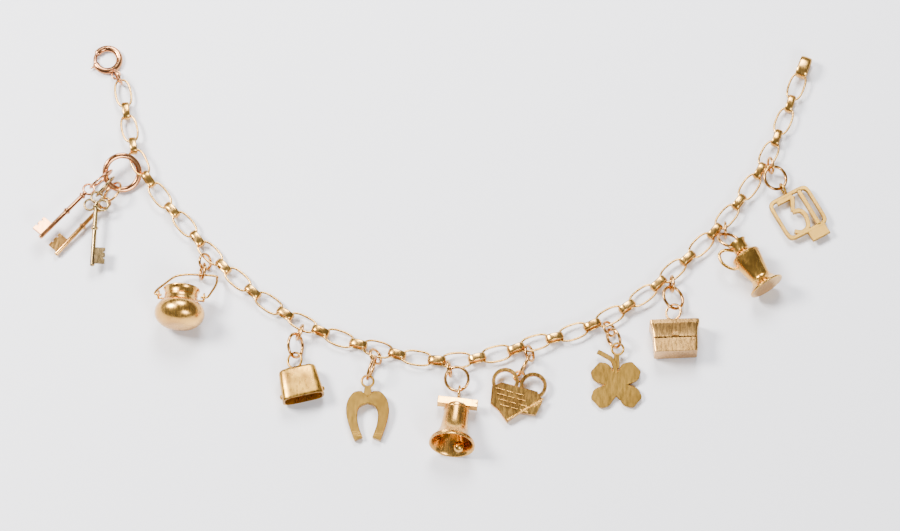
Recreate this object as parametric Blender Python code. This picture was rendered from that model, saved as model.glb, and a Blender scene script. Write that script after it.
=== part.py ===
# Charm bracelet laid out in an open U: a chain of long and short links, a bolt ring at one
# end, a key ring with three keys, and nine charms that each hang on two jump rings.
import math

import bmesh
import bpy
from mathutils import Matrix, Quaternion, Vector

for old in list(bpy.data.objects):
    bpy.data.objects.remove(old)

MM = 0.001
UP = Vector((0.0, 0.0, 1.0))

# Chain
LONG_LINKS = 25
LONG_LENGTH = 5.8 * MM
LONG_WIDTH = 3.2 * MM
LONG_WIRE = 0.42 * MM
LONG_SQUARENESS = 2.5
LONG_SIDES = 10
SHORT_LENGTH = 3.4 * MM
SHORT_HEIGHT = 2.2 * MM
SHORT_THICKNESS = 0.4 * MM
SHORT_BAND = 1.3 * MM
SHORT_SIDES = 10
END_LENGTH = 4.2 * MM
END_HEIGHT = 2.9 * MM
END_BAND = 2.1 * MM
END_THICKNESS = 0.5 * MM
LINK_TWIST = math.radians(7)
SOLDER = 0.07 * MM
WIRE_SIDES = 5

# Chosen points that the chain is laid along, as far apart as every second long link
ROUTE = [
    (-59.6, 33.1), (-56.3, 19.1), (-48.0, 7.6), (-38.3, -3.0), (-26.9, -11.2),
    (-13.5, -16.3), (0.6, -18.6), (14.7, -15.4), (28.2, -10.5), (39.8, -1.8),
    (50.1, 9.0), (57.9, 21.1), (63.2, 34.4),
]
CHARM_LINK_LIFT = 0.2 * MM
KEY_NEIGHBOUR_LIFT = 0.35 * MM

# Clearances
PLAY = 0.16 * MM
TABLE_GAP = 0.01 * MM
RUNNING_GAP = 0.1 * MM

# Bolt ring
BOLT_RADIUS = 2.23 * MM
BOLT_TUBE = 0.6 * MM
BOLT_BORE = 0.43 * MM
BOLT_SLIDE = 0.33 * MM
BOLT_SIDES = 8
BOLT_STEPS = 15
BOLT_HEADING = math.radians(119)
BOLT_GAP_START = math.radians(150)
BOLT_GAP_END = math.radians(200)
BOLT_SLOT_END = math.radians(268)
BOLT_NUB = math.radians(210)
BOLT_TAIL = math.radians(222)
BOLT_EYE = math.radians(299)
NUB_WIDTH = 0.3 * MM
NUB_REACH = 0.75 * MM
EYE_HOLE = 0.62 * MM
EYE_WALL = 0.27 * MM
EYE_HEIGHT = 0.36 * MM
CLASP_RING_RADIUS = 1.4 * MM
CLASP_RING_WIRE = 0.22 * MM

# Key ring and keys
KEY_LINK = 2
KEY_RING_RADIUS = 3.1 * MM
KEY_RING_BAND = 1.05 * MM
KEY_RING_HEIGHT = 1.0 * MM
KEY_RING_SLOPE = math.radians(-27)
KEY_RING_SLIP = 0.5 * MM
KEY_LINK_HEIGHT = 2.1 * MM
KEY_JUMP_WIRE = 0.22 * MM
KEY_LENGTH = 14.1 * MM
KEY_SHAFT = 0.42 * MM
KEY_BOW = 1.0 * MM
KEY_BOW_WIRE = 0.22 * MM
KEY_COLLAR = 5.9 * MM
KEY_BIT = 2.2 * MM
KEY_BIT_LENGTH = 3.0 * MM
KEY_BIT_THICKNESS = 0.6 * MM

# Jump rings of the charms: middle radius and half the wire's thickness
RING_RADIUS = 1.4 * MM
RING_WIRE = 0.25 * MM
DROP_RADIUS = 2.12 * MM
DROP_WIRE = 0.28 * MM
RING_SIDES = 10

# Loops soldered on the charms: middle radius, and half the wire's thickness
LOOP_WIRE = 0.22 * MM
LEANING = Vector((-0.5, 0.0, 0.87)).normalized()
FLAT_LOOP = 1.05 * MM
COWBELL_LOOP = 1.4 * MM
BELL_LOOP = 1.3 * MM
BOX_LOOP = 1.45 * MM

# Pot and its bail
POT_RADIUS = 4.5 * MM
POT_BELLY_HEIGHT = 5.0 * MM
POT_NECK = 3.0 * MM
POT_NECK_HEIGHT = 2.2 * MM
POT_WALL = 0.5 * MM
POT_RIM_RISE = 1.4 * MM
POT_EAR = 0.65 * MM
POT_EAR_WIRE = 0.2 * MM
POT_EAR_SPAN = 8.2 * MM
BAIL_WIRE = 0.22 * MM
BAIL_SLOPE = 0.5
BAIL_REACH = 5.2 * MM
BAIL_HOLD = 3.2 * MM

# Cowbell
COWBELL_TOP = 6.8 * MM
COWBELL_MOUTH = 7.6 * MM
COWBELL_HEIGHT = 6.0 * MM
COWBELL_DEPTH = 4.0 * MM
COWBELL_WALL = 0.45 * MM
COWBELL_SIDES = 12

# Flat charms
HORSESHOE_THICKNESS = 1.2 * MM
HEART_THICKNESS = 0.9 * MM
HEART_PLATE = 1.3 * MM
HEART_LOBE = 2.45 * MM
HEART_WIRE = 0.65 * MM
HEART_LOOP = 0.95 * MM
HEART_ARROW = 0.45 * MM
CLOVER_THICKNESS = 0.8 * MM
CLOVER_REACH = 3.2 * MM
CLOVER_LEAF = 2.15 * MM
FRAME_WIDTH = 8.3 * MM
FRAME_HEIGHT = 8.5 * MM
FRAME_THICKNESS = 0.8 * MM
FRAME_STRIP = 0.7 * MM
FRAME_STROKE = 0.8 * MM

# Bell and clapper
BELL_WAIST = 2.15 * MM
BELL_MOUTH = 4.1 * MM
BELL_HEIGHT = 8.2 * MM
BELL_WALL = 0.45 * MM
BELL_YOKE = 1.4 * MM
BELL_YOKE_LENGTH = 7.2 * MM
CLAPPER_LENGTH = 6.9 * MM
CLAPPER_ASIDE = (1.2 * MM, -1.7 * MM)
CLAPPER_BALL = 1.0 * MM

# Box with a lid
BOX_WIDTH = 8.0 * MM
BOX_DEPTH = 4.2 * MM
BOX_HEIGHT = 2.6 * MM
BOX_WALL = 0.5 * MM
LID_WIDTH = 8.9 * MM
LID_HEIGHT = 3.9 * MM
LID_STALK = 0.6 * MM
LID_FASCIA = 0.8 * MM
LID_GAP = 0.12 * MM

# Jug
JUG_NECK = 1.45 * MM
JUG_SHOULDER = 2.7 * MM
JUG_WAIST = 1.85 * MM
JUG_FOOT = 3.3 * MM
JUG_NECK_HEIGHT = 2.9 * MM
JUG_BODY_HEIGHT = 5.0 * MM
JUG_FOOT_HEIGHT = 2.2 * MM
JUG_WALL = 0.4 * MM
JUG_HANDLE = 0.3 * MM
JUG_HOLE_PLAY = 0.12 * MM

# Colours
YELLOW = (0.83, 0.60, 0.30)
PALE = (0.84, 0.69, 0.42)
ROSE = (0.80, 0.49, 0.32)


def heading(degrees):
    """Unit vector in the table's plane."""
    angle = math.radians(degrees)
    return Vector((math.cos(angle), math.sin(angle), 0.0))


def gold(name, colour, roughness=0.2):
    material = bpy.data.materials.new(name)
    material.use_nodes = True
    shader = material.node_tree.nodes["Principled BSDF"]
    shader.inputs["Base Color"].default_value = (*colour, 1.0)
    shader.inputs["Metallic"].default_value = 1.0
    shader.inputs["Roughness"].default_value = roughness
    return material


def put_in_scene(name, mesh):
    obj = bpy.data.objects.new(name, mesh)
    bpy.context.scene.collection.objects.link(obj)
    return obj


def closed_object(name, points, faces):
    mesh = bpy.data.meshes.new(name)
    mesh.from_pydata([tuple(point) for point in points], [], faces)
    work = bmesh.new()
    work.from_mesh(mesh)
    bmesh.ops.remove_doubles(work, verts=work.verts, dist=1e-4 * MM)
    bmesh.ops.recalc_face_normals(work, faces=work.faces)
    work.to_mesh(mesh)
    work.free()
    return put_in_scene(name, mesh)


def evaluated_mesh(obj):
    graph = bpy.context.evaluated_depsgraph_get()
    return bpy.data.meshes.new_from_object(obj.evaluated_get(graph))


def fused(name, parts):
    """One body from shapes that overlap, by a Boolean union with all of them at once."""
    first, *others = parts
    if others:
        joined = bpy.data.collections.new(name + "_parts")
        bpy.context.scene.collection.children.link(joined)
        for other in others:
            bpy.context.scene.collection.objects.unlink(other)
            joined.objects.link(other)
        union = first.modifiers.new("Union", "BOOLEAN")
        union.operation = "UNION"
        union.operand_type = "COLLECTION"
        union.collection = joined
        union.solver = "EXACT"
        mesh = evaluated_mesh(first)
        bpy.data.collections.remove(joined)
    else:
        mesh = first.data.copy()
    for part in parts:
        bpy.data.objects.remove(part)
    mesh.name = name
    return put_in_scene(name, mesh)


def cut(obj, cutter):
    difference = obj.modifiers.new("Cut", "BOOLEAN")
    difference.operation = "DIFFERENCE"
    difference.object = cutter
    difference.solver = "EXACT"
    mesh = evaluated_mesh(obj)
    name = obj.name
    bpy.data.objects.remove(obj)
    bpy.data.objects.remove(cutter)
    return put_in_scene(name, mesh)


def swept_loop(name, path, axis, section):
    """A closed flat path, anticlockwise about its axis, with a section of (out, along axis)."""
    points = []
    count, corners = len(path), len(section)
    for i, point in enumerate(path):
        tangent = (path[(i + 1) % count] - path[i - 1]).normalized()
        out = tangent.cross(axis).normalized()
        points += [point + out * a + axis * b for a, b in section]
    faces = []
    for i in range(count):
        j = (i + 1) % count
        for k in range(corners):
            m = (k + 1) % corners
            faces.append((i * corners + k, j * corners + k, j * corners + m, i * corners + m))
    return closed_object(name, points, faces)


def round_wire(radius, sides=WIRE_SIDES):
    """Section of a round wire, with one corner towards the middle of the loop."""
    turns = [math.pi + math.tau * k / sides for k in range(sides)]
    return [(radius * math.cos(turn), radius * math.sin(turn)) for turn in turns]


def oval(centre, along, across, length, width, squareness, sides):
    """Points of a superellipse about the centre."""
    points = []
    for k in range(sides):
        turn = math.tau * k / sides
        x = math.copysign(abs(math.cos(turn)) ** (2 / squareness), math.cos(turn))
        y = math.copysign(abs(math.sin(turn)) ** (2 / squareness), math.sin(turn))
        points.append(centre + along * (x * length / 2) + across * (y * width / 2))
    return points


class Ring:
    """A round wire ring: its wire starts at one point and leaves towards the next piece."""

    def __init__(self, start, course, rise, roll, radius, wire):
        across = UP.cross(course)
        self.ahead = course * math.cos(rise) + UP * math.sin(rise)
        over = self.ahead.cross(across)
        self.axis = across * math.cos(roll) + over * math.sin(roll)
        self.centre = start + self.ahead * radius
        self.radius = radius
        self.wire = wire
        self.exit = self.ahead

    def leave(self, turn):
        self.exit = Quaternion(self.axis, turn) @ self.ahead
        return self

    def far_point(self):
        return self.centre + self.exit * self.radius

    def inside(self, next_wire, play=PLAY):
        """Where the next wire passes through this ring, just inside its far side."""
        return self.centre + self.exit * (self.radius - self.wire - next_wire - play)

    def build(self, name, sides=RING_SIDES):
        ahead = self.ahead
        path = oval(self.centre, ahead, self.axis.cross(ahead), 2 * self.radius,
                    2 * self.radius, 2, sides)
        return swept_loop(name, path, self.axis, round_wire(self.wire))


def resting_ring(start, course, roll, radius, wire):
    """A ring that starts at a point and comes down until it touches the table."""
    height = radius * math.cos(roll) + wire + TABLE_GAP
    sine = max(-0.9, min(0.9, (height - start.z) / radius))
    return Ring(start, course, math.asin(sine), roll, radius, wire)


def standing_ring(start, course, roll, radius, wire, far_height):
    """A ring on the table whose far wire comes down to a height."""
    ring = resting_ring(start, course, roll, radius, wire)
    low, high = 0.0, math.radians(150)
    for _ in range(40):
        turn = (low + high) / 2
        if ring.leave(turn).far_point().z > far_height:
            low = turn
        else:
            high = turn
    return ring.leave(turn)


def lying_ring(start, course, roll, turn, radius, wire, far_height):
    """A ring that slopes from its start to the height of the next piece."""
    low, high = math.radians(-60), math.radians(60)
    for _ in range(40):
        rise = (low + high) / 2
        ring = Ring(start, course, rise, roll, radius, wire).leave(turn)
        if ring.far_point().z < far_height:
            low = rise
        else:
            high = rise
    return ring


def turned(name, profile, sides, axis_points=True):
    """A body of revolution about Y from (radius, height) pairs of a closed profile."""
    points, rows = [], []
    for radius, height in profile:
        if radius < 1e-9:
            rows.append([len(points)] * sides)
            points.append(Vector((0.0, height, 0.0)))
            continue
        rows.append(list(range(len(points), len(points) + sides)))
        for k in range(sides):
            turn = math.tau * (k + 0.5) / sides
            points.append(Vector((radius * math.cos(turn), height, radius * math.sin(turn))))
    faces = []
    pairs = zip(rows, rows[1:]) if axis_points else zip(rows, rows[1:] + rows[:1])
    for lower, upper in pairs:
        for k in range(sides):
            m = (k + 1) % sides
            corners = [lower[k], lower[m], upper[m], upper[k]]
            face = [c for i, c in enumerate(corners) if c not in corners[:i]]
            if len(face) > 2:
                faces.append(face)
    return closed_object(name, points, faces)


def plate(name, outlines, thickness, level=0.0):
    """A flat sheet cut to an outline, with the further outlines as holes in it."""
    curve = bpy.data.curves.new(name, "CURVE")
    curve.dimensions = "2D"
    curve.fill_mode = "BOTH"
    curve.extrude = thickness / 2
    for outline in outlines:
        spline = curve.splines.new("POLY")
        spline.points.add(len(outline) - 1)
        for point, (x, y) in zip(spline.points, outline):
            point.co = (x, y, 0.0, 1.0)
        spline.use_cyclic_u = True
    shape = put_in_scene(name, curve)
    mesh = evaluated_mesh(shape)
    bpy.data.objects.remove(shape)
    work = bmesh.new()
    work.from_mesh(mesh)
    bmesh.ops.remove_doubles(work, verts=work.verts, dist=1e-3 * MM)
    bmesh.ops.recalc_face_normals(work, faces=work.faces)
    bmesh.ops.translate(work, verts=work.verts, vec=(0.0, 0.0, level))
    work.to_mesh(mesh)
    work.free()
    return put_in_scene(name, mesh)


def strip(points, width):
    """Outline of a band of even width along a line of points."""
    left, right = [], []
    last = len(points) - 1
    for i, point in enumerate(points):
        before = Vector(points[max(i - 1, 0)])
        after = Vector(points[min(i + 1, last)])
        across = (after - before).normalized().orthogonal()
        left.append(tuple(Vector(point) + across * width / 2))
        right.append(tuple(Vector(point) - across * width / 2))
    return left + right[::-1]


def mm_points(pairs):
    return [(x * MM, y * MM) for x, y in pairs]


def round_outline(centre_x, centre_y, radius_x, radius_y, sides, squareness=2):
    middle = Vector((centre_x, centre_y, 0.0))
    points = oval(middle, Vector((1, 0, 0)), Vector((0, 1, 0)), 2 * radius_x, 2 * radius_y,
                  squareness, sides)
    return [(point.x, point.y) for point in points]


def rod(name, points, radius, sides=6):
    """A wire through points, with flat ends."""
    path = [Vector(point) for point in points]
    ring_points, faces = [], []
    normal = (path[1] - path[0]).orthogonal().normalized()
    for i, point in enumerate(path):
        tangent = (path[min(i + 1, len(path) - 1)] - path[max(i - 1, 0)]).normalized()
        normal = (normal - tangent * normal.dot(tangent)).normalized()
        side = tangent.cross(normal)
        for k in range(sides):
            turn = math.tau * k / sides
            offset = normal * math.cos(turn) + side * math.sin(turn)
            ring_points.append(point + offset * radius)
    for i in range(len(path) - 1):
        for k in range(sides):
            m = (k + 1) % sides
            faces.append((i * sides + k, i * sides + m, (i + 1) * sides + m, (i + 1) * sides + k))
    faces.append(tuple(range(sides)))
    faces.append(tuple(range(len(ring_points) - sides, len(ring_points))))
    return closed_object(name, ring_points, faces)


def soldered_loop(name, radius, wire, axis, centre=(0.0, 0.0, 0.0), sides=10):
    along = Vector((0.0, 1.0, 0.0))
    path = oval(Vector(centre), along, axis.cross(along), 2 * radius, 2 * radius, 2, sides)
    return swept_loop(name, path, axis, round_wire(wire, 5))


def block(name, low, high):
    corners = [(x, y, z) for x in (low[0], high[0]) for y in (low[1], high[1])
               for z in (low[2], high[2])]
    faces = [(0, 1, 3, 2), (4, 6, 7, 5), (0, 4, 5, 1), (2, 3, 7, 6), (0, 2, 6, 4), (1, 5, 7, 3)]
    return closed_object(name, corners, faces)


# Every piece made, and those that move in a joint, whose origin is a point on the joint's axis
pieces = []
MOVING = ("bolt_ring_slide", "pot_body", "bell_clapper")


def keep(obj, name, material, matrix=None):
    """Names the piece, puts it where it belongs and gives it its metal."""
    obj.name = name
    obj.data.name = name
    if name in MOVING:
        obj.matrix_world = matrix
    elif matrix is not None:
        obj.data.transform(matrix)
    obj.data.materials.clear()
    obj.data.materials.append(material)
    obj.data.shade_smooth()
    obj.data.set_sharp_from_angle(angle=math.radians(40))
    pieces.append(obj)


# Metals
yellow_gold = gold("yellow_gold", YELLOW)
pale_gold = gold("pale_gold", PALE)
rose_gold = gold("rose_gold", ROSE)
satin_gold = gold("satin_gold", PALE, roughness=0.4)

# The short link's band reaches the long link's end only up to its own corners
hole_length = LONG_LENGTH / 2 - LONG_WIRE
hole_width = LONG_WIDTH / 2 - LONG_WIRE
corner_share = (SHORT_BAND / 2 / hole_width) ** LONG_SQUARENESS
NEST = hole_length * (1 - (1 - corner_share) ** (1 / LONG_SQUARENESS))
END_SPAN = SHORT_LENGTH - 2 * SHORT_THICKNESS - 2 * NEST + 2 * SOLDER
PITCH = 2 * hole_length + END_SPAN
LINK_HEIGHT = SHORT_HEIGHT / 2 + TABLE_GAP


def smooth_route():
    """Points a long way finer than the links, on one curve through the chosen points."""
    knots = [Vector((x * MM, y * MM, 0.0)) for x, y in ROUTE]
    knots = [2 * knots[0] - knots[1], *knots, 2 * knots[-1] - knots[-2]]
    fine = []
    for a, b, c, d in zip(knots, knots[1:], knots[2:], knots[3:]):
        for step in range(20):
            s = step / 20
            fine.append(0.5 * (2 * b + (c - a) * s + (2 * a - 5 * b + 4 * c - d) * s * s
                               + (3 * b - a - 3 * c + d) * s ** 3))
    return [*fine, knots[-2]]


def link_centres():
    fine = smooth_route()
    travelled = [0.0]
    for a, b in zip(fine, fine[1:]):
        travelled.append(travelled[-1] + (b - a).length)
    scale = PITCH * (LONG_LINKS - 1) / travelled[-1]
    centres, at = [], 0
    for number in range(LONG_LINKS):
        goal = min(number * PITCH / scale, travelled[-1])
        while at < len(fine) - 2 and travelled[at + 1] < goal:
            at += 1
        share = (goal - travelled[at]) / (travelled[at + 1] - travelled[at])
        centre = fine[at].lerp(fine[at + 1], share) * scale
        centre.z = LINK_HEIGHT + (CHARM_LINK_LIFT if number % 2 == 0 and number else 0.0)
        centres.append(centre)
    centres[KEY_LINK].z = KEY_LINK_HEIGHT
    centres[KEY_LINK - 1].z += KEY_NEIGHBOUR_LIFT
    centres[KEY_LINK + 1].z += KEY_NEIGHBOUR_LIFT
    return centres


CENTRES = link_centres()


def link_tangent(number):
    before = CENTRES[max(number - 1, 0)]
    after = CENTRES[min(number + 1, LONG_LINKS - 1)]
    return (after - before).normalized()


# Chain: long oval links and short broad links, fused where they touch
links = []
for number, centre in enumerate(CENTRES):
    along = link_tangent(number)
    level = 0.0 if number == KEY_LINK else 1.0
    twist = LINK_TWIST * math.sin(2.1 * number) * level
    across = Quaternion(along, twist) @ UP.cross(along).normalized()
    wire_path = oval(centre, along, across, LONG_LENGTH - LONG_WIRE, LONG_WIDTH - LONG_WIRE,
                     LONG_SQUARENESS, LONG_SIDES)
    links.append(swept_loop("long_link", wire_path, along.cross(across), round_wire(LONG_WIRE / 2)))


def band_link(start, end, length, height, band, thickness, sides):
    """A short broad link that stands on edge round the ends of two long ones."""
    along = (end - start).normalized()
    axis = along.cross(UP).normalized()
    path = oval((start + end) / 2, along, axis.cross(along), length - thickness,
                height - thickness, LONG_SQUARENESS, sides)
    t, b = thickness / 2, band / 2
    section = [(-t, -b), (-t, b), (0.4 * t, b), (t, 0.0), (0.4 * t, -b)]
    return swept_loop("short_link", path, axis, section)


def link_end(number, side):
    return CENTRES[number] + link_tangent(number) * (hole_length * side)


for number in range(LONG_LINKS - 1):
    links.append(band_link(link_end(number, 1), link_end(number + 1, -1), SHORT_LENGTH,
                           SHORT_HEIGHT, SHORT_BAND, SHORT_THICKNESS, SHORT_SIDES))
last_along = link_tangent(LONG_LINKS - 1)
end_start = link_end(LONG_LINKS - 1, 1) - last_along * (END_THICKNESS + NEST - SOLDER)
end_start.z = END_HEIGHT / 2 + TABLE_GAP
end_stop = end_start + Vector((last_along.x, last_along.y, 0.0)) * END_LENGTH
links.append(band_link(end_start, end_stop, END_LENGTH, END_HEIGHT, END_BAND, END_THICKNESS,
                       RING_SIDES))
keep(fused("chain", links), "chain", yellow_gold)

def link_hole(number, along_share, next_wire, slack=0.0):
    """Where a ring's wire passes through a long link, near its outer flank."""
    along = link_tangent(number)
    along = Vector((along.x, along.y, 0.0)).normalized()
    out = along.cross(UP)
    room = LONG_WIDTH / 2 - LONG_WIRE - next_wire - PLAY - slack
    return CENTRES[number] + out * room + along * (along_share * LONG_LENGTH / 2)


# Bolt ring: a hollow round tube with a gap, closed by a curved slide with a thumb nub
def arc_path(start, end, steps):
    return [start + (end - start) * k / steps for k in range(steps + 1)]


def arc_tube(name, start, end, radius, tube, sides, steps):
    """A tube bent along an arc in the XY plane, with flat ends."""
    points, faces = [], []
    turns = arc_path(start, end, steps)
    for turn in turns:
        out = Vector((math.cos(turn), math.sin(turn), 0.0))
        for k in range(sides):
            around = math.tau * (k + 0.5) / sides
            points.append(out * (radius + tube * math.cos(around)) + UP * tube * math.sin(around))
    for i in range(steps):
        for k in range(sides):
            m = (k + 1) % sides
            faces.append((i * sides + k, i * sides + m, (i + 1) * sides + m, (i + 1) * sides + k))
    faces.append(tuple(range(sides)))
    faces.append(tuple(range(steps * sides, (steps + 1) * sides)))
    return closed_object(name, points, faces)


def wedge(name, start, end, inner, outer, height, steps):
    """A flat sector of a ring in the XY plane."""
    turns = arc_path(start, end, steps)
    outline = [(inner * math.cos(turn), inner * math.sin(turn)) for turn in turns]
    outline += [(outer * math.cos(turn), outer * math.sin(turn)) for turn in reversed(turns)]
    return plate(name, [outline], height)


eye_reach = BOLT_RADIUS + BOLT_TUBE + EYE_HOLE
first_along = link_tangent(0)
bolt_course = heading(math.degrees(BOLT_HEADING))
link_tip = CENTRES[0] - first_along * (LONG_LENGTH / 2 - LONG_WIRE - CLASP_RING_WIRE
                                       - 2 * PLAY)
clasp_height = CLASP_RING_RADIUS + CLASP_RING_WIRE + TABLE_GAP
clasp_rise = math.asin((clasp_height - link_tip.z) / CLASP_RING_RADIUS)
clasp_ring = Ring(link_tip, bolt_course, clasp_rise, 0.0, CLASP_RING_RADIUS, CLASP_RING_WIRE)
bolt_height = BOLT_TUBE + TABLE_GAP
clasp_drop = math.acos(max(-1.0, (bolt_height - clasp_height) / CLASP_RING_RADIUS))
clasp_ring.leave(clasp_rise + clasp_drop - math.pi / 2)
keep(clasp_ring.build("clasp_jump_ring"), "clasp_jump_ring", rose_gold)
bolt_centre = clasp_ring.far_point() + bolt_course * eye_reach
bolt_centre.z = bolt_height
bolt_matrix = Matrix.Translation(bolt_centre)

gap_far = BOLT_GAP_START + math.tau
tube = arc_tube("tube", BOLT_GAP_END, gap_far, BOLT_RADIUS, BOLT_TUBE, BOLT_SIDES,
                BOLT_STEPS)
margin = math.radians(4)
bore = arc_tube("bore", BOLT_GAP_END - margin, BOLT_SLOT_END, BOLT_RADIUS, BOLT_BORE,
                BOLT_SIDES, 6)
tube = cut(tube, bore)
slot = wedge("slot", BOLT_GAP_END - margin, BOLT_SLOT_END - margin, BOLT_RADIUS,
             BOLT_RADIUS + 2 * BOLT_TUBE, NUB_WIDTH + 2 * RUNNING_GAP, 6)
tube = cut(tube, slot)
eye_centre = heading(math.degrees(BOLT_EYE)) * eye_reach
eye_outline = round_outline(eye_centre.x, eye_centre.y, EYE_HOLE + EYE_WALL,
                            EYE_HOLE + EYE_WALL, 12)
eye_hole = round_outline(eye_centre.x, eye_centre.y, EYE_HOLE, EYE_HOLE, 12)
eye = plate("eye", [eye_outline, eye_hole], EYE_HEIGHT)
keep(fused("bolt_ring_body", [tube, eye]), "bolt_ring_body", rose_gold, bolt_matrix)

slide = arc_tube("slide", BOLT_GAP_START + RUNNING_GAP / BOLT_RADIUS, BOLT_TAIL, BOLT_RADIUS,
                 BOLT_SLIDE, BOLT_SIDES, 6)
half_nub = math.radians(5)
nub = wedge("nub", BOLT_NUB - half_nub, BOLT_NUB + half_nub, BOLT_RADIUS,
            BOLT_RADIUS + BOLT_TUBE + NUB_REACH / 2, NUB_WIDTH, 2)
keep(fused("bolt_ring_slide", [slide, nub]), "bolt_ring_slide", rose_gold, bolt_matrix)

# Key ring: a thick flat ring through the lifted link, with a jump ring and key at three places
key_along = link_tangent(KEY_LINK)
key_out = heading(math.degrees(math.atan2(key_along.y, key_along.x)) - 90)
inner_edge = LONG_WIDTH / 2 - LONG_WIRE - KEY_RING_BAND / 2 - PLAY
key_centre = (CENTRES[KEY_LINK] + key_out * (inner_edge + KEY_RING_RADIUS)
              + key_along * KEY_RING_SLIP)
key_side = Quaternion(key_out, KEY_RING_SLOPE) @ UP.cross(key_out)
key_axis = key_out.cross(key_side).normalized()
key_path = oval(key_centre, key_out, key_side, 2 * KEY_RING_RADIUS, 2 * KEY_RING_RADIUS, 2, 16)
a, b = KEY_RING_BAND / 2, KEY_RING_HEIGHT / 2
key_section = [(-a, 0.0), (-0.6 * a, b), (0.6 * a, b), (a, 0.0), (0.6 * a, -b), (-0.6 * a, -b)]
keep(swept_loop("key_ring", key_path, key_axis, key_section), "key_ring", rose_gold)

KEYS = {
    "key_a": {"place": -184.8, "inset": 0.33, "jump": -138.9, "roll": -13.1, "radius": 2.5,
              "key": -130.7, "bow_height": 2.25, "tilt": 5.8,
              "bit_side": -1, "trefoil": False, "metal": rose_gold},
    "key_b": {"place": -118.4, "inset": 0.19, "jump": -111.2, "roll": -41.4, "radius": 2.05,
              "key": -131.6, "bow_height": 1.5, "tilt": -2.8,
              "bit_side": -1, "trefoil": False, "metal": yellow_gold},
    "key_c": {"place": -146.7, "inset": 0.27, "jump": -126.9, "roll": -14.7, "radius": 2.33,
              "key": -92.5, "bow_height": 2.83, "tilt": -2.5,
              "bit_side": 1, "trefoil": True, "metal": pale_gold},
}


def build_key(name, trefoil, bit_side):
    """A key with its bow's middle at the origin and its shaft down along -Y."""
    shaft_end = -(KEY_LENGTH - KEY_BOW)
    neck = -KEY_BOW
    profile = [(0.0, shaft_end), (0.8 * KEY_SHAFT, shaft_end),
               (KEY_SHAFT, shaft_end + KEY_SHAFT), (KEY_SHAFT, -KEY_COLLAR - KEY_SHAFT),
               (1.6 * KEY_SHAFT, -KEY_COLLAR), (KEY_SHAFT, -KEY_COLLAR + KEY_SHAFT),
               (KEY_SHAFT, neck - 0.9 * KEY_BOW),
               (1.5 * KEY_SHAFT, neck - 0.7 * KEY_BOW), (KEY_SHAFT, neck - 0.4 * KEY_BOW),
               (KEY_SHAFT, neck + KEY_BOW_WIRE), (0.0, neck + KEY_BOW_WIRE)]
    parts = [turned("shaft", profile, 8)]
    bit_low = shaft_end + 1.2 * KEY_SHAFT
    bit = block("bit", (min(0, bit_side * KEY_BIT), bit_low, -KEY_BIT_THICKNESS / 2),
                (max(0, bit_side * KEY_BIT), bit_low + KEY_BIT_LENGTH, KEY_BIT_THICKNESS / 2))
    parts.append(bit)
    places = [(0.0, 0.0)]
    if trefoil:
        places = [(0.0, 0.0), (-1.15 * KEY_BOW, -1.5 * KEY_BOW), (1.15 * KEY_BOW, -1.5 * KEY_BOW)]
    for x, y in places:
        parts.append(soldered_loop("bow", KEY_BOW, KEY_BOW_WIRE, UP, (x, y, 0.0), 9))
    return fused(name, parts)


for name, key in KEYS.items():
    place = heading(key["place"])
    reach = (KEY_RING_RADIUS - KEY_RING_BAND / 2 - KEY_JUMP_WIRE - PLAY
             - key["inset"] * MM)
    start = key_centre + place * reach
    start.z = key_centre.z + reach * (place.dot(UP.cross(key_out)) * math.sin(KEY_RING_SLOPE))
    bow_height = key["bow_height"] * MM
    jump = standing_ring(start, heading(key["jump"]), math.radians(key["roll"]),
                         key["radius"] * MM, KEY_JUMP_WIRE, bow_height)
    keep(jump.build(name + "_jump_ring"), name + "_jump_ring", key["metal"])
    course = heading(key["key"])
    bow = jump.far_point() + course * (KEY_BOW - KEY_BOW_WIRE - KEY_JUMP_WIRE - PLAY)
    matrix = (Matrix.Translation(bow) @ Matrix.Rotation(math.radians(key["key"] + 90), 4, "Z")
              @ Matrix.Rotation(math.radians(-key["tilt"]), 4, "X"))
    keep(build_key(name, key["trefoil"], key["bit_side"]), name, key["metal"], matrix)


# Charms: each is built with its loop's middle at the origin and hangs down along -Y
def sections(name, rows, sides, squareness=2):
    """A body through (half width, half depth, y) sections, from one end round to the other."""
    points, loops, faces = [], [], []
    for half_width, half_depth, y in rows:
        if half_width < 1e-9:
            loops.append([len(points)] * sides)
            points.append(Vector((0.0, y, 0.0)))
            continue
        loops.append(list(range(len(points), len(points) + sides)))
        for x, z in round_outline(0.0, 0.0, half_width, half_depth, sides, squareness):
            points.append(Vector((x, y, z)))
    for upper, lower in zip(loops, loops[1:]):
        for k in range(sides):
            m = (k + 1) % sides
            corners = [upper[k], upper[m], lower[m], lower[k]]
            face = [corner for i, corner in enumerate(corners) if corner not in corners[:i]]
            if len(face) > 2:
                faces.append(face)
    return closed_object(name, points, faces)


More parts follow.
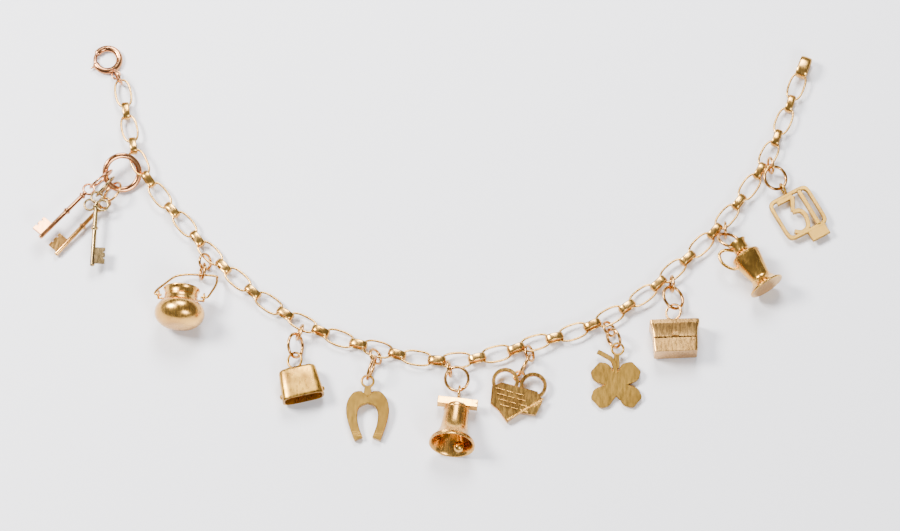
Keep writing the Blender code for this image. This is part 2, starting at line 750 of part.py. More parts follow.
def build_cowbell(name):
    """A four-sided bell with rounded corners, open at its mouth, with a stud on each side."""
    slope = COWBELL_DEPTH / COWBELL_MOUTH
    top = -COWBELL_LOOP
    halves = [
        (0.0, 0.0), (COWBELL_TOP / 2 - COWBELL_WALL, 0.3 * MM), (COWBELL_TOP / 2, 0.8 * MM),
        (COWBELL_MOUTH / 2, COWBELL_HEIGHT), (COWBELL_MOUTH / 2 - COWBELL_WALL, COWBELL_HEIGHT),
        (COWBELL_TOP / 2 - COWBELL_WALL, 0.8 * MM + COWBELL_WALL),
        (0.0, 0.3 * MM + COWBELL_WALL),
    ]
    rows = [(half, max(half * slope, 0.0), top - drop) for half, drop in halves]
    shell = sections("shell", rows, COWBELL_SIDES, 4)
    loop = soldered_loop("loop", COWBELL_LOOP, LOOP_WIRE, LEANING)
    stud = block("stud", (-COWBELL_MOUTH / 2 - 0.3 * MM, top - COWBELL_HEIGHT * 0.9, -0.4 * MM),
                 (-COWBELL_MOUTH / 2 + 0.35 * MM, top - COWBELL_HEIGHT * 0.75, 0.4 * MM))
    other = block("stud", (COWBELL_MOUTH / 2 - 0.35 * MM, top - COWBELL_HEIGHT * 0.9, -0.4 * MM),
                  (COWBELL_MOUTH / 2 + 0.3 * MM, top - COWBELL_HEIGHT * 0.75, 0.4 * MM))
    return fused(name, [shell, loop, stud, other])


def build_horseshoe(name):
    """A flat shoe, heels down, with its loop soldered over the toe."""
    half = mm_points([(1.1, -1.9), (2.4, -2.1), (3.5, -3.5), (3.85, -5.3), (3.6, -7.1),
                      (3.0, -9.1), (2.3, -11.0), (0.85, -10.4), (1.6, -8.3), (1.85, -6.3),
                      (1.4, -4.8)])
    outline = [(0.0, -2.95 * MM), *half, (0.0, -4.15 * MM)]
    outline += [(-x, y) for x, y in reversed(half)]
    shoe = plate("shoe", [outline], HORSESHOE_THICKNESS)
    loop = soldered_loop("loop", FLAT_LOOP, LOOP_WIRE, UP)
    neck = block("neck", (-0.8 * MM, -3.2 * MM, -LOOP_WIRE),
                 (0.8 * MM, -FLAT_LOOP + 0.1 * MM, LOOP_WIRE))
    return fused(name, [shoe, loop, neck])


def build_heart(name):
    """A tilted heart: two wire lobes, a plain plate over their lower halves and an arrow."""
    parts = []
    for x, y in mm_points([(-2.5, -0.9), (2.5, -1.75)]):
        outer = round_outline(x, y, HEART_LOBE, HEART_LOBE, 14)
        hole = round_outline(x, y, HEART_LOBE - HEART_WIRE, HEART_LOBE - HEART_WIRE, 14)
        parts.append(plate("lobe", [outer, hole], HEART_THICKNESS))
    board = mm_points([(-4.9, -1.9), (-3.1, -1.2), (3.2, -2.9), (4.1, -4.8), (2.9, -7.2),
                       (0.0, -6.8), (-2.3, -8.5), (-3.7, -6.4), (-5.2, -5.1)])
    parts.append(plate("board", [board], HEART_PLATE))
    low, high = (-2.2 * MM, -8.2 * MM, 0.4 * MM), (4.3 * MM, -4.2 * MM, 0.4 * MM)
    parts.append(rod("arrow", [low, high], HEART_ARROW))
    parts.append(soldered_loop("loop", HEART_LOOP, LOOP_WIRE, UP))
    return fused(name, parts)


def build_clover(name):
    """A four-leafed clover sawn from one sheet, with a curled stem beside the loop."""
    middle_x, middle_y = -0.35 * MM, -6.7 * MM
    outline = []
    for leaf in (43, 139, 222, 320):
        axis = math.radians(leaf)
        for step in range(-4, 5):
            turn = math.radians(9.2 * step)
            bulge = math.sqrt(CLOVER_LEAF ** 2 - (CLOVER_REACH * math.sin(turn)) ** 2)
            reach = CLOVER_REACH * math.cos(turn) + bulge
            if step == 0:
                reach -= 0.35 * MM
            outline.append((middle_x + reach * math.cos(axis + turn),
                            middle_y + reach * math.sin(axis + turn)))
    leaves = plate("leaves", [outline], CLOVER_THICKNESS)
    stem_line = mm_points([(-3.6, -0.5), (-2.3, -1.2), (-1.1, -2.0), (-0.55, -3.2), (-0.45, -5.6)])
    stem = plate("stem", [strip(stem_line, 0.8 * MM)], CLOVER_THICKNESS * 0.9)
    loop = soldered_loop("loop", FLAT_LOOP, LOOP_WIRE, UP)
    neck = block("neck", (-0.7 * MM, -3.6 * MM, -LOOP_WIRE),
                 (0.3 * MM, 0.1 * MM - FLAT_LOOP, LOOP_WIRE))
    return fused(name, [leaves, stem, loop, neck])


def build_number_frame(name):
    """A rounded frame with a plain number pierced through it."""
    top = -FLAT_LOOP
    half = FRAME_WIDTH / 2
    middle = top - FRAME_HEIGHT / 2
    outer = round_outline(0.0, middle, half, FRAME_HEIGHT / 2, 16, 7)
    inner = round_outline(0.0, middle, half - FRAME_STRIP, FRAME_HEIGHT / 2 - FRAME_STRIP, 16, 9)
    rim = plate("rim", [outer, inner], FRAME_THICKNESS)
    right = half - FRAME_STRIP - 1.2 * MM
    left = FRAME_STRIP - half
    low = top - FRAME_HEIGHT + FRAME_STRIP / 2
    high = top - FRAME_STRIP - FRAME_STROKE / 3
    strokes = [
        [(right, top - FRAME_STRIP / 2), (right, low)],
        [(right, high), (left - 0.1 * MM, high)],
        [(left + 0.3 * MM, high), (-0.6 * MM, middle + 0.8 * MM)],
        [(-0.3 * MM, middle + 1.0 * MM), (-1.7 * MM, middle - 0.4 * MM),
         (-2.1 * MM, middle - 1.6 * MM), (-1.3 * MM, low + 0.5 * MM), (0.2 * MM, low)],
    ]
    bars = [plate("stroke", [strip(line, FRAME_STROKE)], FRAME_THICKNESS) for line in strokes]
    tab_low = top - FRAME_HEIGHT - 1.9 * MM
    tab = block("tab", (-0.4 * MM, tab_low, -FRAME_THICKNESS / 2),
                (3.2 * MM, low, FRAME_THICKNESS / 2))
    loop = soldered_loop("loop", FLAT_LOOP, LOOP_WIRE, Vector((1.0, 0.0, 0.0)))
    return fused(name, [rim, *bars, tab, loop])


def build_bell(name):
    """A bell with a yoke bar and a loop on its crown, hollow and open at the mouth."""
    crown = -BELL_LOOP - BELL_YOKE
    wall = BELL_WALL
    profile = [
        (0.0, crown), (0.8 * BELL_WAIST, crown), (BELL_WAIST, crown - 0.5 * MM),
        (1.13 * BELL_WAIST, crown - 0.55 * BELL_HEIGHT),
        (0.82 * BELL_MOUTH, crown - 0.8 * BELL_HEIGHT),
        (BELL_MOUTH, crown - 0.95 * BELL_HEIGHT), (BELL_MOUTH, crown - BELL_HEIGHT),
        (BELL_MOUTH - wall, crown - BELL_HEIGHT),
        (0.74 * BELL_MOUTH, crown - 0.78 * BELL_HEIGHT),
        (BELL_WAIST - 0.5 * wall, crown - 0.5 * BELL_HEIGHT),
        (BELL_WAIST - wall, crown - 0.5 * MM - wall), (0.0, crown - wall),
    ]
    shell = turned("shell", profile, 12)
    half = BELL_YOKE / 2
    yoke = block("yoke", (-BELL_YOKE_LENGTH / 2, crown - 0.1 * MM, -half),
                 (BELL_YOKE_LENGTH / 2, crown + BELL_YOKE, half))
    loop = soldered_loop("loop", BELL_LOOP, LOOP_WIRE, Vector((1.0, 0.0, 0.0)))
    return fused(name, [shell, yoke, loop])


def clapper_place():
    """Where the clapper hangs under the crown, turned so that its ball lies on the lower wall."""
    pivot = Vector((0.0, -BELL_LOOP - BELL_YOKE - BELL_WALL - 2 * PLAY, 0.0))
    aside_x, aside_z = CLAPPER_ASIDE
    down = math.sqrt(CLAPPER_LENGTH ** 2 - aside_x ** 2 - aside_z ** 2)
    hang = Vector((aside_x, -down, aside_z)).normalized()
    turn = Vector((0.0, -1.0, 0.0)).rotation_difference(hang).to_matrix().to_4x4()
    return Matrix.Translation(pivot) @ turn


def build_clapper(name):
    """A ball on a stem; the origin is where the stem hooks into the crown."""
    stem = 0.2 * MM
    profile = [(0.0, 0.0), (stem, -stem / 2), (stem, -CLAPPER_LENGTH + 0.95 * CLAPPER_BALL)]
    for k in range(1, 6):
        turn = math.pi * k / 6
        level = -CLAPPER_LENGTH + CLAPPER_BALL * math.cos(turn)
        profile.append((CLAPPER_BALL * math.sin(turn), level))
    profile.append((0.0, -CLAPPER_LENGTH - CLAPPER_BALL))
    return turned(name, profile, 8)


def build_pot(name):
    """A round-bellied pot with a collar, an open mouth and an ear at each side.

    The origin is on the line through its two ears, which its bail hooks into.
    """
    rim = POT_RIM_RISE
    neck = rim - POT_NECK_HEIGHT
    base = neck - POT_BELLY_HEIGHT
    lip = 1.1 * POT_NECK

    def belly(share):
        return POT_RADIUS * math.sqrt(1 - ((share - 0.5) * 1.7) ** 2)

    profile = [(0.0, base), (0.45 * POT_RADIUS, base)]
    profile += [(belly(share), base + share * POT_BELLY_HEIGHT) for share in (0.15, 0.35, 0.6, 0.85)]
    profile += [(POT_NECK, neck), (POT_NECK, rim - 0.6 * MM), (lip, rim - 0.45 * MM), (lip, rim),
                (POT_NECK - POT_WALL, rim), (POT_NECK - POT_WALL, neck)]
    profile += [(belly(share) - POT_WALL, base + share * POT_BELLY_HEIGHT) for share in (0.7, 0.3)]
    profile += [(0.4 * POT_RADIUS, base + 1.5 * POT_WALL), (0.0, base + 1.5 * POT_WALL)]
    parts = [turned("shell", profile, 12)]
    for side in (-1, 1):
        centre = (side * POT_EAR_SPAN / 2, 0.0, 0.0)
        parts.append(soldered_loop("ear", POT_EAR, POT_EAR_WIRE, Vector((1.0, 0.0, 0.0)), centre, 8))
        foot = (side * (POT_NECK - POT_WALL / 2), -POT_EAR, 0.0)
        parts.append(rod("arm", [foot, (centre[0], -POT_EAR, 0.0)], POT_EAR_WIRE))
    return fused(name, parts)


def bail_line():
    """The bail's wire in the pot's frame: through both ears from outside, bent to one side."""
    flat = mm_points([(-3.5, 0.0), (-4.1, 0.0), (-4.75, 0.2), (-4.4, 1.2), (-3.2, 2.7), (-1.8, 4.3),
                      (-0.4, 4.95), (1.6, 5.2), (5.5, 5.2), (5.95, 4.5), (5.9, 3.1), (5.3, 1.4),
                      (4.75, 0.2), (4.1, 0.0), (3.5, 0.0)])
    return [(x, y, -BAIL_SLOPE * y) for x, y in flat]


def build_box(name):
    """The case below the lid, hollow and open towards it."""
    top = -BOX_LOOP - LID_HEIGHT - LID_GAP
    shell = block("shell", (-BOX_WIDTH / 2, top - BOX_HEIGHT, -BOX_DEPTH / 2),
                  (BOX_WIDTH / 2, top, BOX_DEPTH / 2))
    inside = block("inside", (BOX_WALL - BOX_WIDTH / 2, top - BOX_HEIGHT + BOX_WALL,
                              BOX_WALL - BOX_DEPTH / 2),
                   (BOX_WIDTH / 2 - BOX_WALL, top + BOX_WALL, BOX_DEPTH / 2 - BOX_WALL))
    return cut(shell, inside)


def build_lid(name):
    """A flared lid, hollow below, with a loop on its top and a catch stud in front."""
    top = -BOX_LOOP - LID_STALK
    seam = -BOX_LOOP - LID_HEIGHT
    flare = LID_WIDTH / BOX_WIDTH
    inner = (BOX_WIDTH / 2 - BOX_WALL, BOX_DEPTH / 2 - BOX_WALL)
    rows = [
        (0.0, 0.0, top), (LID_WIDTH / 2, BOX_DEPTH / 2 * flare, top),
        (LID_WIDTH / 2, BOX_DEPTH / 2 * flare, top - LID_FASCIA),
        (BOX_WIDTH / 2, BOX_DEPTH / 2, seam + 0.6 * MM), (BOX_WIDTH / 2, BOX_DEPTH / 2, seam),
        (*inner, seam), (*inner, top - LID_FASCIA), (0.0, 0.0, top - LID_FASCIA),
    ]
    shell = sections("shell", rows, 16, 14)
    loop = soldered_loop("loop", BOX_LOOP, LOOP_WIRE, LEANING)
    stalk = block("stalk", (-0.6 * MM, top - 0.1 * MM, -LOOP_WIRE),
                  (0.6 * MM, 0.1 * MM - BOX_LOOP, LOOP_WIRE))
    front = BOX_DEPTH / 2
    catch = block("catch", (-0.5 * MM, seam + 0.1 * MM, front - 0.2 * MM),
                  (0.5 * MM, seam + 0.9 * MM, front + 0.35 * MM))
    return fused(name, [shell, loop, stalk, catch])


def build_jug(name):
    """A jug with an open neck, a sharp shoulder, a spread foot and one round handle.

    The origin is where the wire of its jump ring crosses the neck.
    """
    mouth = 0.9 * MM
    shoulder = mouth - JUG_NECK_HEIGHT
    waist = shoulder - JUG_BODY_HEIGHT
    foot = waist - JUG_FOOT_HEIGHT
    wall = JUG_WALL
    profile = [
        (0.0, foot), (JUG_FOOT, foot), (JUG_FOOT, foot + 0.4 * MM), (JUG_WAIST * 1.1, waist - 0.6 * MM),
        (JUG_WAIST, waist), (JUG_SHOULDER, shoulder - 0.4 * MM), (JUG_SHOULDER, shoulder),
        (JUG_NECK, shoulder + 0.8 * MM), (JUG_NECK, mouth - 0.9 * MM), (JUG_NECK * 1.25, mouth),
        (JUG_NECK * 1.25 - wall, mouth), (JUG_NECK - wall, mouth - 0.9 * MM),
        (JUG_NECK - wall, shoulder + 0.6 * MM), (JUG_SHOULDER - 2 * wall, shoulder - 0.4 * MM),
        (JUG_WAIST - wall, waist), (0.0, waist - 0.3 * MM),
    ]
    shell = turned("shell", profile, 12)
    handle = rod("handle", mm_points_3d([(-1.3, -0.3), (-2.6, 0.7), (-3.9, 0.5), (-4.3, -1.2),
                                         (-3.5, -2.9), (-2.3, -3.6)]), JUG_HANDLE)
    return fused(name, [shell, handle])


def mm_points_3d(pairs):
    return [(x * MM, y * MM, 0.0) for x, y in pairs]


# Where each charm hangs and how it lies. along is the place on the long link as a share of
# its half length; the headings are directions on the table in degrees; turn is how far round
# its first ring the second ring sits; tilt lifts the charm's lower end.
CHARMS = [
    {"name": "pot", "link": 5, "along": 0.01, "slack": 0.17, "ring": -108.8, "ring_roll": 41.7, "turn": -12.6,
     "drop": -93.9, "drop_roll": -20.1, "drop_turn": None,
     "drop_radius": 1.4, "heading": -94, "tilt": 0},
    {"name": "cowbell", "link": 8, "along": 0.05, "slack": 0.19, "ring": -103.7, "ring_roll": -18.1, "turn": -1.7,
     "drop": -105.9, "drop_roll": 34.5, "drop_turn": 14.9,
     "heading": -77, "tilt": 0},
    {"name": "horseshoe", "link": 10, "along": -0.22, "slack": 0.52, "ring": -77.4, "ring_roll": 39.3, "turn": -25.2,
     "drop": -110.0, "drop_roll": 0.7, "drop_turn": None,
     "heading": -90, "tilt": -5},
    {"name": "bell", "link": 12, "along": -0.52, "slack": 0.46, "ring": -85.5, "ring_roll": 11.5, "turn": -39.6,
     "drop": -48.0, "drop_roll": 113.1, "drop_turn": -30.5,
     "heading": -97, "tilt": 13},
    {"name": "heart", "link": 14, "along": -0.43, "slack": 0.44, "ring": -86.7, "ring_roll": 31.4, "turn": -9.4,
     "drop": -115.4, "drop_roll": -7.3, "drop_turn": None,
     "heading": -90, "tilt": -5},
    {"name": "clover", "link": 16, "along": -0.38, "slack": 0.13, "ring": -70.1, "ring_roll": 43.3, "turn": -51.3,
     "drop": -55.5, "drop_roll": -26.8, "drop_turn": None,
     "drop_radius": 1.7, "heading": -90, "tilt": -5},
    {"name": "box", "link": 18, "along": -0.4, "slack": 0.07, "ring": -84.1, "ring_roll": -9.0, "turn": -2.3,
     "drop": -87.9, "drop_roll": 55.6, "drop_turn": -3.8,
     "heading": -88, "tilt": 0},
    {"name": "jug", "link": 20, "along": -0.46, "slack": 0.17, "ring": -90.3, "ring_roll": 2.9, "turn": 14.3,
     "drop": -69.5, "drop_roll": 62.2, "drop_turn": 35.9,
     "heading": -58, "tilt": 0},
    {"name": "number", "link": 22, "along": -0.31, "slack": 0.39, "ring": -75.8, "ring_roll": -11.7, "turn": -33.9,
     "drop": -73.5, "drop_roll": 71.8, "drop_turn": 19.7,
     "heading": -61, "tilt": 0},
]


def bare_builder(kind):
    return {"pot": build_pot, "cowbell": build_cowbell, "horseshoe": build_horseshoe,
            "bell": build_bell, "heart": build_heart, "clover": build_clover,
            "box": build_lid, "jug": build_jug, "number": build_number_frame}[kind]


LOOPS = {"cowbell": COWBELL_LOOP, "horseshoe": FLAT_LOOP, "bell": BELL_LOOP, "heart": HEART_LOOP,
         "clover": FLAT_LOOP, "box": BOX_LOOP, "number": FLAT_LOOP}
NODE_NAMES = {"pot": "pot_body", "bell": "bell_body", "box": "box_lid", "number": "number_frame"}
METALS = {"horseshoe": satin_gold, "clover": satin_gold, "number": satin_gold, "box": yellow_gold}
for charm in CHARMS:
    kind = charm["name"]
    shape = bare_builder(kind)(kind)
    shapes = {NODE_NAMES.get(kind, kind): shape}
    hold = Vector((0.0, 0.0, 0.0))
    if kind == "pot":
        shapes["pot_bail"] = rod("pot_bail", bail_line(), BAIL_WIRE)
        hold = Vector((BAIL_HOLD, BAIL_REACH, -BAIL_SLOPE * BAIL_REACH))
    elif kind in LOOPS:
        hold = Vector((0.0, LOOPS[kind] - LOOP_WIRE - DROP_WIRE - PLAY, 0.0))
    if kind == "bell":
        shapes["bell_clapper"] = build_clapper("clapper")
    if kind == "box":
        shapes["box_body"] = build_box("box")
    lean = (Matrix.Rotation(math.radians(charm["heading"] + 90), 4, "Z")
            @ Matrix.Rotation(math.radians(-charm["tilt"]), 4, "X"))
    lowest = min((lean @ vertex.co).z for vertex in shape.data.vertices)
    hold_height = (lean @ hold).z - lowest + TABLE_GAP

    start = link_hole(charm["link"], charm["along"], RING_WIRE, charm["slack"] * MM)
    ring = resting_ring(start, heading(charm["ring"]), math.radians(charm["ring_roll"]),
                        RING_RADIUS, RING_WIRE).leave(math.radians(charm["turn"]))
    begin = ring.inside(DROP_WIRE)
    size = charm.get("drop_radius", DROP_RADIUS / MM) * MM
    course, roll = heading(charm["drop"]), math.radians(charm["drop_roll"])
    if charm["drop_turn"] is None:
        drop = standing_ring(begin, course, roll, size, DROP_WIRE, hold_height)
    else:
        drop = lying_ring(begin, course, roll, math.radians(charm["drop_turn"]), size,
                          DROP_WIRE, hold_height)
    at = drop.inside(BAIL_WIRE) if kind == "pot" else drop.far_point()
    keep(ring.build("ring"), kind + "_ring_1", yellow_gold)
    keep(drop.build("drop"), kind + "_ring_2", yellow_gold)
    matrix = Matrix.Translation(at) @ lean @ Matrix.Translation(-hold)
    matrix.translation.z = -lowest + TABLE_GAP
    if kind == "jug":
        drop.wire += JUG_HOLE_PLAY
        shape.data.transform(matrix)
        shapes["jug"] = cut(shape, drop.build("hole"))
        shapes["jug"].data.transform(matrix.inverted())
    for name, part in shapes.items():
        place = matrix @ clapper_place() if name == "bell_clapper" else matrix
        keep(part, name, METALS.get(kind, yellow_gold), place)


# Whole bracelet: its box stands on the table with the middle of its foot at the origin
bpy.context.view_layer.update()
corners = [piece.matrix_world @ vertex.co for piece in pieces for vertex in piece.data.vertices]
low = Vector([min(corner[axis] for corner in corners) for axis in range(3)])
high = Vector([max(corner[axis] for corner in corners) for axis in range(3)])
shift = Vector((-(low.x + high.x) / 2, -(low.y + high.y) / 2, -low.z))
for piece in pieces:
    if piece.name in MOVING:
        piece.matrix_world.translation += shift
    else:
        piece.data.transform(Matrix.Translation(shift))
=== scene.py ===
# A gold charm bracelet laid open on a pale table: a chain of long and short links, a bolt ring
# clasp, a bunch of three keys and nine charms, each hung on two jump rings.
import math

import bmesh
import bpy
import numpy as np
from mathutils import Matrix, Quaternion, Vector


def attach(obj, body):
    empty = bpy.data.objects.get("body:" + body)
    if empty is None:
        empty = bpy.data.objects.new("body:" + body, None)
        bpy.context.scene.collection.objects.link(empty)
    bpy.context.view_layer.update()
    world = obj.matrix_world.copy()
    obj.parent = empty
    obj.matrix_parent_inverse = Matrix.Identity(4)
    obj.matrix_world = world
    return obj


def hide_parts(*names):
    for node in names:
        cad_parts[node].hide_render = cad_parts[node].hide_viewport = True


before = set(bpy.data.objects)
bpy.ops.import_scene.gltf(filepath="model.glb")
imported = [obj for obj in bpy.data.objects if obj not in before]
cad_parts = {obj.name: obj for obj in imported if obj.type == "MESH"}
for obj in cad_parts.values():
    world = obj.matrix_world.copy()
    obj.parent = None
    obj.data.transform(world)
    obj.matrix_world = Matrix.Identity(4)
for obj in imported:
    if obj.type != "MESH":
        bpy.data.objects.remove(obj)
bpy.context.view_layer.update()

MM = 0.001
UP = Vector((0.0, 0.0, 1.0))
ACROSS = Vector((1.0, 0.0, 0.0))
ALONG = Vector((0.0, 1.0, 0.0))
ORIGIN = Vector()

# The view of the photograph: from in front and high above, with a long lens, so that the
# bracelet shows almost as drawn on the table. The table is a pale, slightly glossy board.
CAMERA_DISTANCE = 0.903
CAMERA_ELEVATION = math.radians(69.5)
LOOK_AT = Vector((3.26 * MM, -3.15 * MM, 0.0))
SENSOR_WIDTH = 36.0
LENS = 200.0
CLIP_START = 0.01
camera = bpy.data.objects.new("camera", bpy.data.cameras.new("camera"))
bpy.context.scene.collection.objects.link(camera)
camera.data.sensor_width = SENSOR_WIDTH
camera.data.lens = LENS
camera.data.clip_start = CLIP_START
towards = Vector((0.0, -math.cos(CAMERA_ELEVATION), math.sin(CAMERA_ELEVATION)))
camera.location = LOOK_AT + towards * CAMERA_DISTANCE
camera.rotation_euler = towards.to_track_quat("Z", "Y").to_euler()
bpy.context.scene.camera = camera


def soft_light(name, place, size, power, colour=(1.0, 1.0, 1.0)):
    lamp = bpy.data.lights.new(name, "AREA")
    lamp.shape = "SQUARE"
    lamp.size = size
    lamp.energy = power
    lamp.color = colour
    light = bpy.data.objects.new(name, lamp)
    bpy.context.scene.collection.objects.link(light)
    light.location = place
    light.rotation_euler = Vector(place).to_track_quat("Z", "Y").to_euler()


soft_light("window", (-0.34, 0.10, 0.40), 0.16, 7.0, (1.0, 0.98, 0.95))
soft_light("ceiling", (0.02, 0.34, 0.42), 0.22, 4.6, (0.97, 0.98, 1.0))
soft_light("front", (0.22, -0.45, 0.42), 0.20, 3.2)
ROOM_COLOUR = (0.93, 0.93, 0.97, 1.0)
ROOM_STRENGTH = 0.24
world = bpy.data.worlds.new("room")
world.use_nodes = True
room = world.node_tree.nodes["Background"]
room.inputs["Color"].default_value = ROOM_COLOUR
room.inputs["Strength"].default_value = ROOM_STRENGTH
bpy.context.scene.world = world

TABLE_SIZE = 3.0
TABLE_COLOUR = (0.90, 0.90, 0.945, 1.0)
TABLE_ROUGHNESS = 0.42
board = bmesh.new()
bmesh.ops.create_grid(board, x_segments=1, y_segments=1, size=TABLE_SIZE / 2)
table_mesh = bpy.data.meshes.new("table")
board.to_mesh(table_mesh)
board.free()
table = bpy.data.objects.new("table", table_mesh)
bpy.context.scene.collection.objects.link(table)
table_paint = bpy.data.materials.new("table_paint")
table_paint.use_nodes = True
table_shader = table_paint.node_tree.nodes["Principled BSDF"]
table_shader.inputs["Base Color"].default_value = TABLE_COLOUR
table_shader.inputs["Roughness"].default_value = TABLE_ROUGHNESS
table_mesh.materials.append(table_paint)


# The chain: long oval links of round wire, each pair joined by a short broad link on edge,
# and a larger link at the free end. Yellow gold, bent from wire and strip, then soldered.
PATCH_SCALE = 260.0
SCRATCH_SCALE = 2600.0
SCRATCH_STRETCH = (1.0, 0.25, 0.6)
RELIEF_DEPTH = 0.02 * MM
RELIEF = 0.12
PATCH_EDGES = (0.32, 0.62)
SCRATCH_EDGES = (0.3, 0.7)


def wear_group():
    """Slow colour patches, fine scratches and the relief that they make on worn metal."""
    tree = bpy.data.node_groups.new("metal_wear", "ShaderNodeTree")
    sockets = tree.interface
    for label in ("Patch Scale", "Scratch Scale", "Relief"):
        sockets.new_socket(label, in_out="INPUT", socket_type="NodeSocketFloat")
    for label in ("Patches", "Scratches"):
        sockets.new_socket(label, in_out="OUTPUT", socket_type="NodeSocketFloat")
    sockets.new_socket("Normal", in_out="OUTPUT", socket_type="NodeSocketVector")
    nodes, links = tree.nodes, tree.links
    given, made = nodes.new("NodeGroupInput"), nodes.new("NodeGroupOutput")
    place = nodes.new("ShaderNodeTexCoord")
    patches = nodes.new("ShaderNodeTexNoise")
    patches.inputs["Detail"].default_value = 4.0
    stretch = nodes.new("ShaderNodeMapping")
    stretch.inputs["Scale"].default_value = SCRATCH_STRETCH
    scratches = nodes.new("ShaderNodeTexNoise")
    scratches.inputs["Detail"].default_value = 5.0
    scratches.inputs["Roughness"].default_value = 0.65
    relief = nodes.new("ShaderNodeBump")
    relief.inputs["Distance"].default_value = RELIEF_DEPTH
    links.new(place.outputs["Object"], patches.inputs["Vector"])
    links.new(place.outputs["Object"], stretch.inputs["Vector"])
    links.new(stretch.outputs["Vector"], scratches.inputs["Vector"])
    links.new(given.outputs["Patch Scale"], patches.inputs["Scale"])
    links.new(given.outputs["Scratch Scale"], scratches.inputs["Scale"])
    links.new(given.outputs["Relief"], relief.inputs["Strength"])
    links.new(scratches.outputs["Fac"], relief.inputs["Height"])
    links.new(patches.outputs["Fac"], made.inputs["Patches"])
    links.new(scratches.outputs["Fac"], made.inputs["Scratches"])
    links.new(relief.outputs["Normal"], made.inputs["Normal"])
    return tree


METAL_WEAR = wear_group()


def worn_gold(name, light, dark, smooth, rough, relief=RELIEF, patch=PATCH_SCALE):
    """Gold whose colour goes from light to dark in patches and whose gloss is scratched."""
    material = bpy.data.materials.new(name)
    material.use_nodes = True
    nodes, links = material.node_tree.nodes, material.node_tree.links
    shader = nodes["Principled BSDF"]
    shader.inputs["Metallic"].default_value = 1.0
    wear = nodes.new("ShaderNodeGroup")
    wear.node_tree = METAL_WEAR
    wear.inputs["Patch Scale"].default_value = patch
    wear.inputs["Scratch Scale"].default_value = SCRATCH_SCALE
    wear.inputs["Relief"].default_value = relief
    tint = nodes.new("ShaderNodeValToRGB")
    for stop, edge, colour in zip(tint.color_ramp.elements, PATCH_EDGES, (dark, light)):
        stop.position = edge
        stop.color = (*colour, 1.0)
    gloss = nodes.new("ShaderNodeMapRange")
    for label, number in (("From Min", SCRATCH_EDGES[0]), ("From Max", SCRATCH_EDGES[1]),
                          ("To Min", smooth), ("To Max", rough)):
        gloss.inputs[label].default_value = number
    links.new(wear.outputs["Patches"], tint.inputs["Fac"])
    links.new(tint.outputs["Color"], shader.inputs["Base Color"])
    links.new(wear.outputs["Scratches"], gloss.inputs["Value"])
    links.new(gloss.outputs["Result"], shader.inputs["Roughness"])
    links.new(wear.outputs["Normal"], shader.inputs["Normal"])
    return material


chain_gold = worn_gold("chain_gold", (0.78, 0.45, 0.12), (0.50, 0.26, 0.06), 0.16, 0.32)

LONG_LINKS = 25
LONG_LENGTH = 5.8 * MM
LONG_WIDTH = 3.2 * MM
LONG_WIRE = 0.42 * MM
SHORT_LENGTH = 3.4 * MM
SHORT_HEIGHT = 2.2 * MM
SHORT_THICKNESS = 0.4 * MM
SHORT_BAND = 1.3 * MM
LINK_SQUARENESS = 2.5
BAND_SQUARENESS = 2.8
LONG_STEPS, LONG_SIDES = 64, 16
BROAD_STEPS, BROAD_SIDES = 48, 20
LINK_PITCH = 7.2187 * MM
LINK_REACH = LONG_LENGTH / 2 - LONG_WIRE
LINK_LEVEL = 1.1 * MM
CHARM_LINK_LIFT = 0.2 * MM
KEY_LINK = 2
KEY_LINK_LEVEL = 2.09 * MM
KEY_NEIGHBOUR_LIFT = 0.35 * MM
LINK_TWIST = math.radians(7)
TWIST_STEP = 2.1
END_LINK_START = Vector((67.209, 33.014, 1.45)) * MM
END_LINK_STOP = Vector((68.668, 36.95, 1.45)) * MM
END_LINK_SCALE = (1.235, 1.32, 1.6)
CENTRING = Vector((3.261 * MM, -3.147 * MM, 0.0))
ROUTE = [
    (-59.6, 33.1), (-56.3, 19.1), (-48.0, 7.6), (-38.3, -3.0), (-26.9, -11.2),
    (-13.5, -16.3), (0.6, -18.6), (14.7, -15.4), (28.2, -10.5), (39.8, -1.8),
    (50.1, 9.0), (57.9, 21.1), (63.2, 34.4),
]
ROUTE_STEPS = 20


def between(a, b, c, d, share):
    """A point on the smooth curve from b to c, where a and d are the points beyond them."""
    return 0.5 * (2 * b + (c - a) * share + (2 * a - 5 * b + 4 * c - d) * share * share
                  + (3 * b - a - 3 * c + d) * share ** 3)


def smooth_line(knots, steps):
    """Close points on one smooth curve through all the knots."""
    knots = [2 * knots[0] - knots[1], *knots, 2 * knots[-1] - knots[-2]]
    line = [between(*four, step / steps)
            for four in zip(knots, knots[1:], knots[2:], knots[3:]) for step in range(steps)]
    return [*line, knots[-2]]


def long_link_centres():
    """Middles of the long links, at even steps along the route, with their heights."""
    fine = smooth_line([Vector((x * MM, y * MM, 0.0)) for x, y in ROUTE], ROUTE_STEPS)
    travelled = [0.0]
    for a, b in zip(fine, fine[1:]):
        travelled.append(travelled[-1] + (b - a).length)
    scale = LINK_PITCH * (LONG_LINKS - 1) / travelled[-1]
    centres, at = [], 0
    for number in range(LONG_LINKS):
        goal = min(number * LINK_PITCH / scale, travelled[-1])
        while at < len(fine) - 2 and travelled[at + 1] < goal:
            at += 1
        share = (goal - travelled[at]) / (travelled[at + 1] - travelled[at])
        centre = fine[at].lerp(fine[at + 1], share) * scale
        centre.z = LINK_LEVEL + (CHARM_LINK_LIFT if number % 2 == 0 and number else 0.0)
        centres.append(centre + CENTRING)
    centres[KEY_LINK].z = KEY_LINK_LEVEL
    centres[KEY_LINK - 1].z += KEY_NEIGHBOUR_LIFT
    centres[KEY_LINK + 1].z += KEY_NEIGHBOUR_LIFT
    return centres


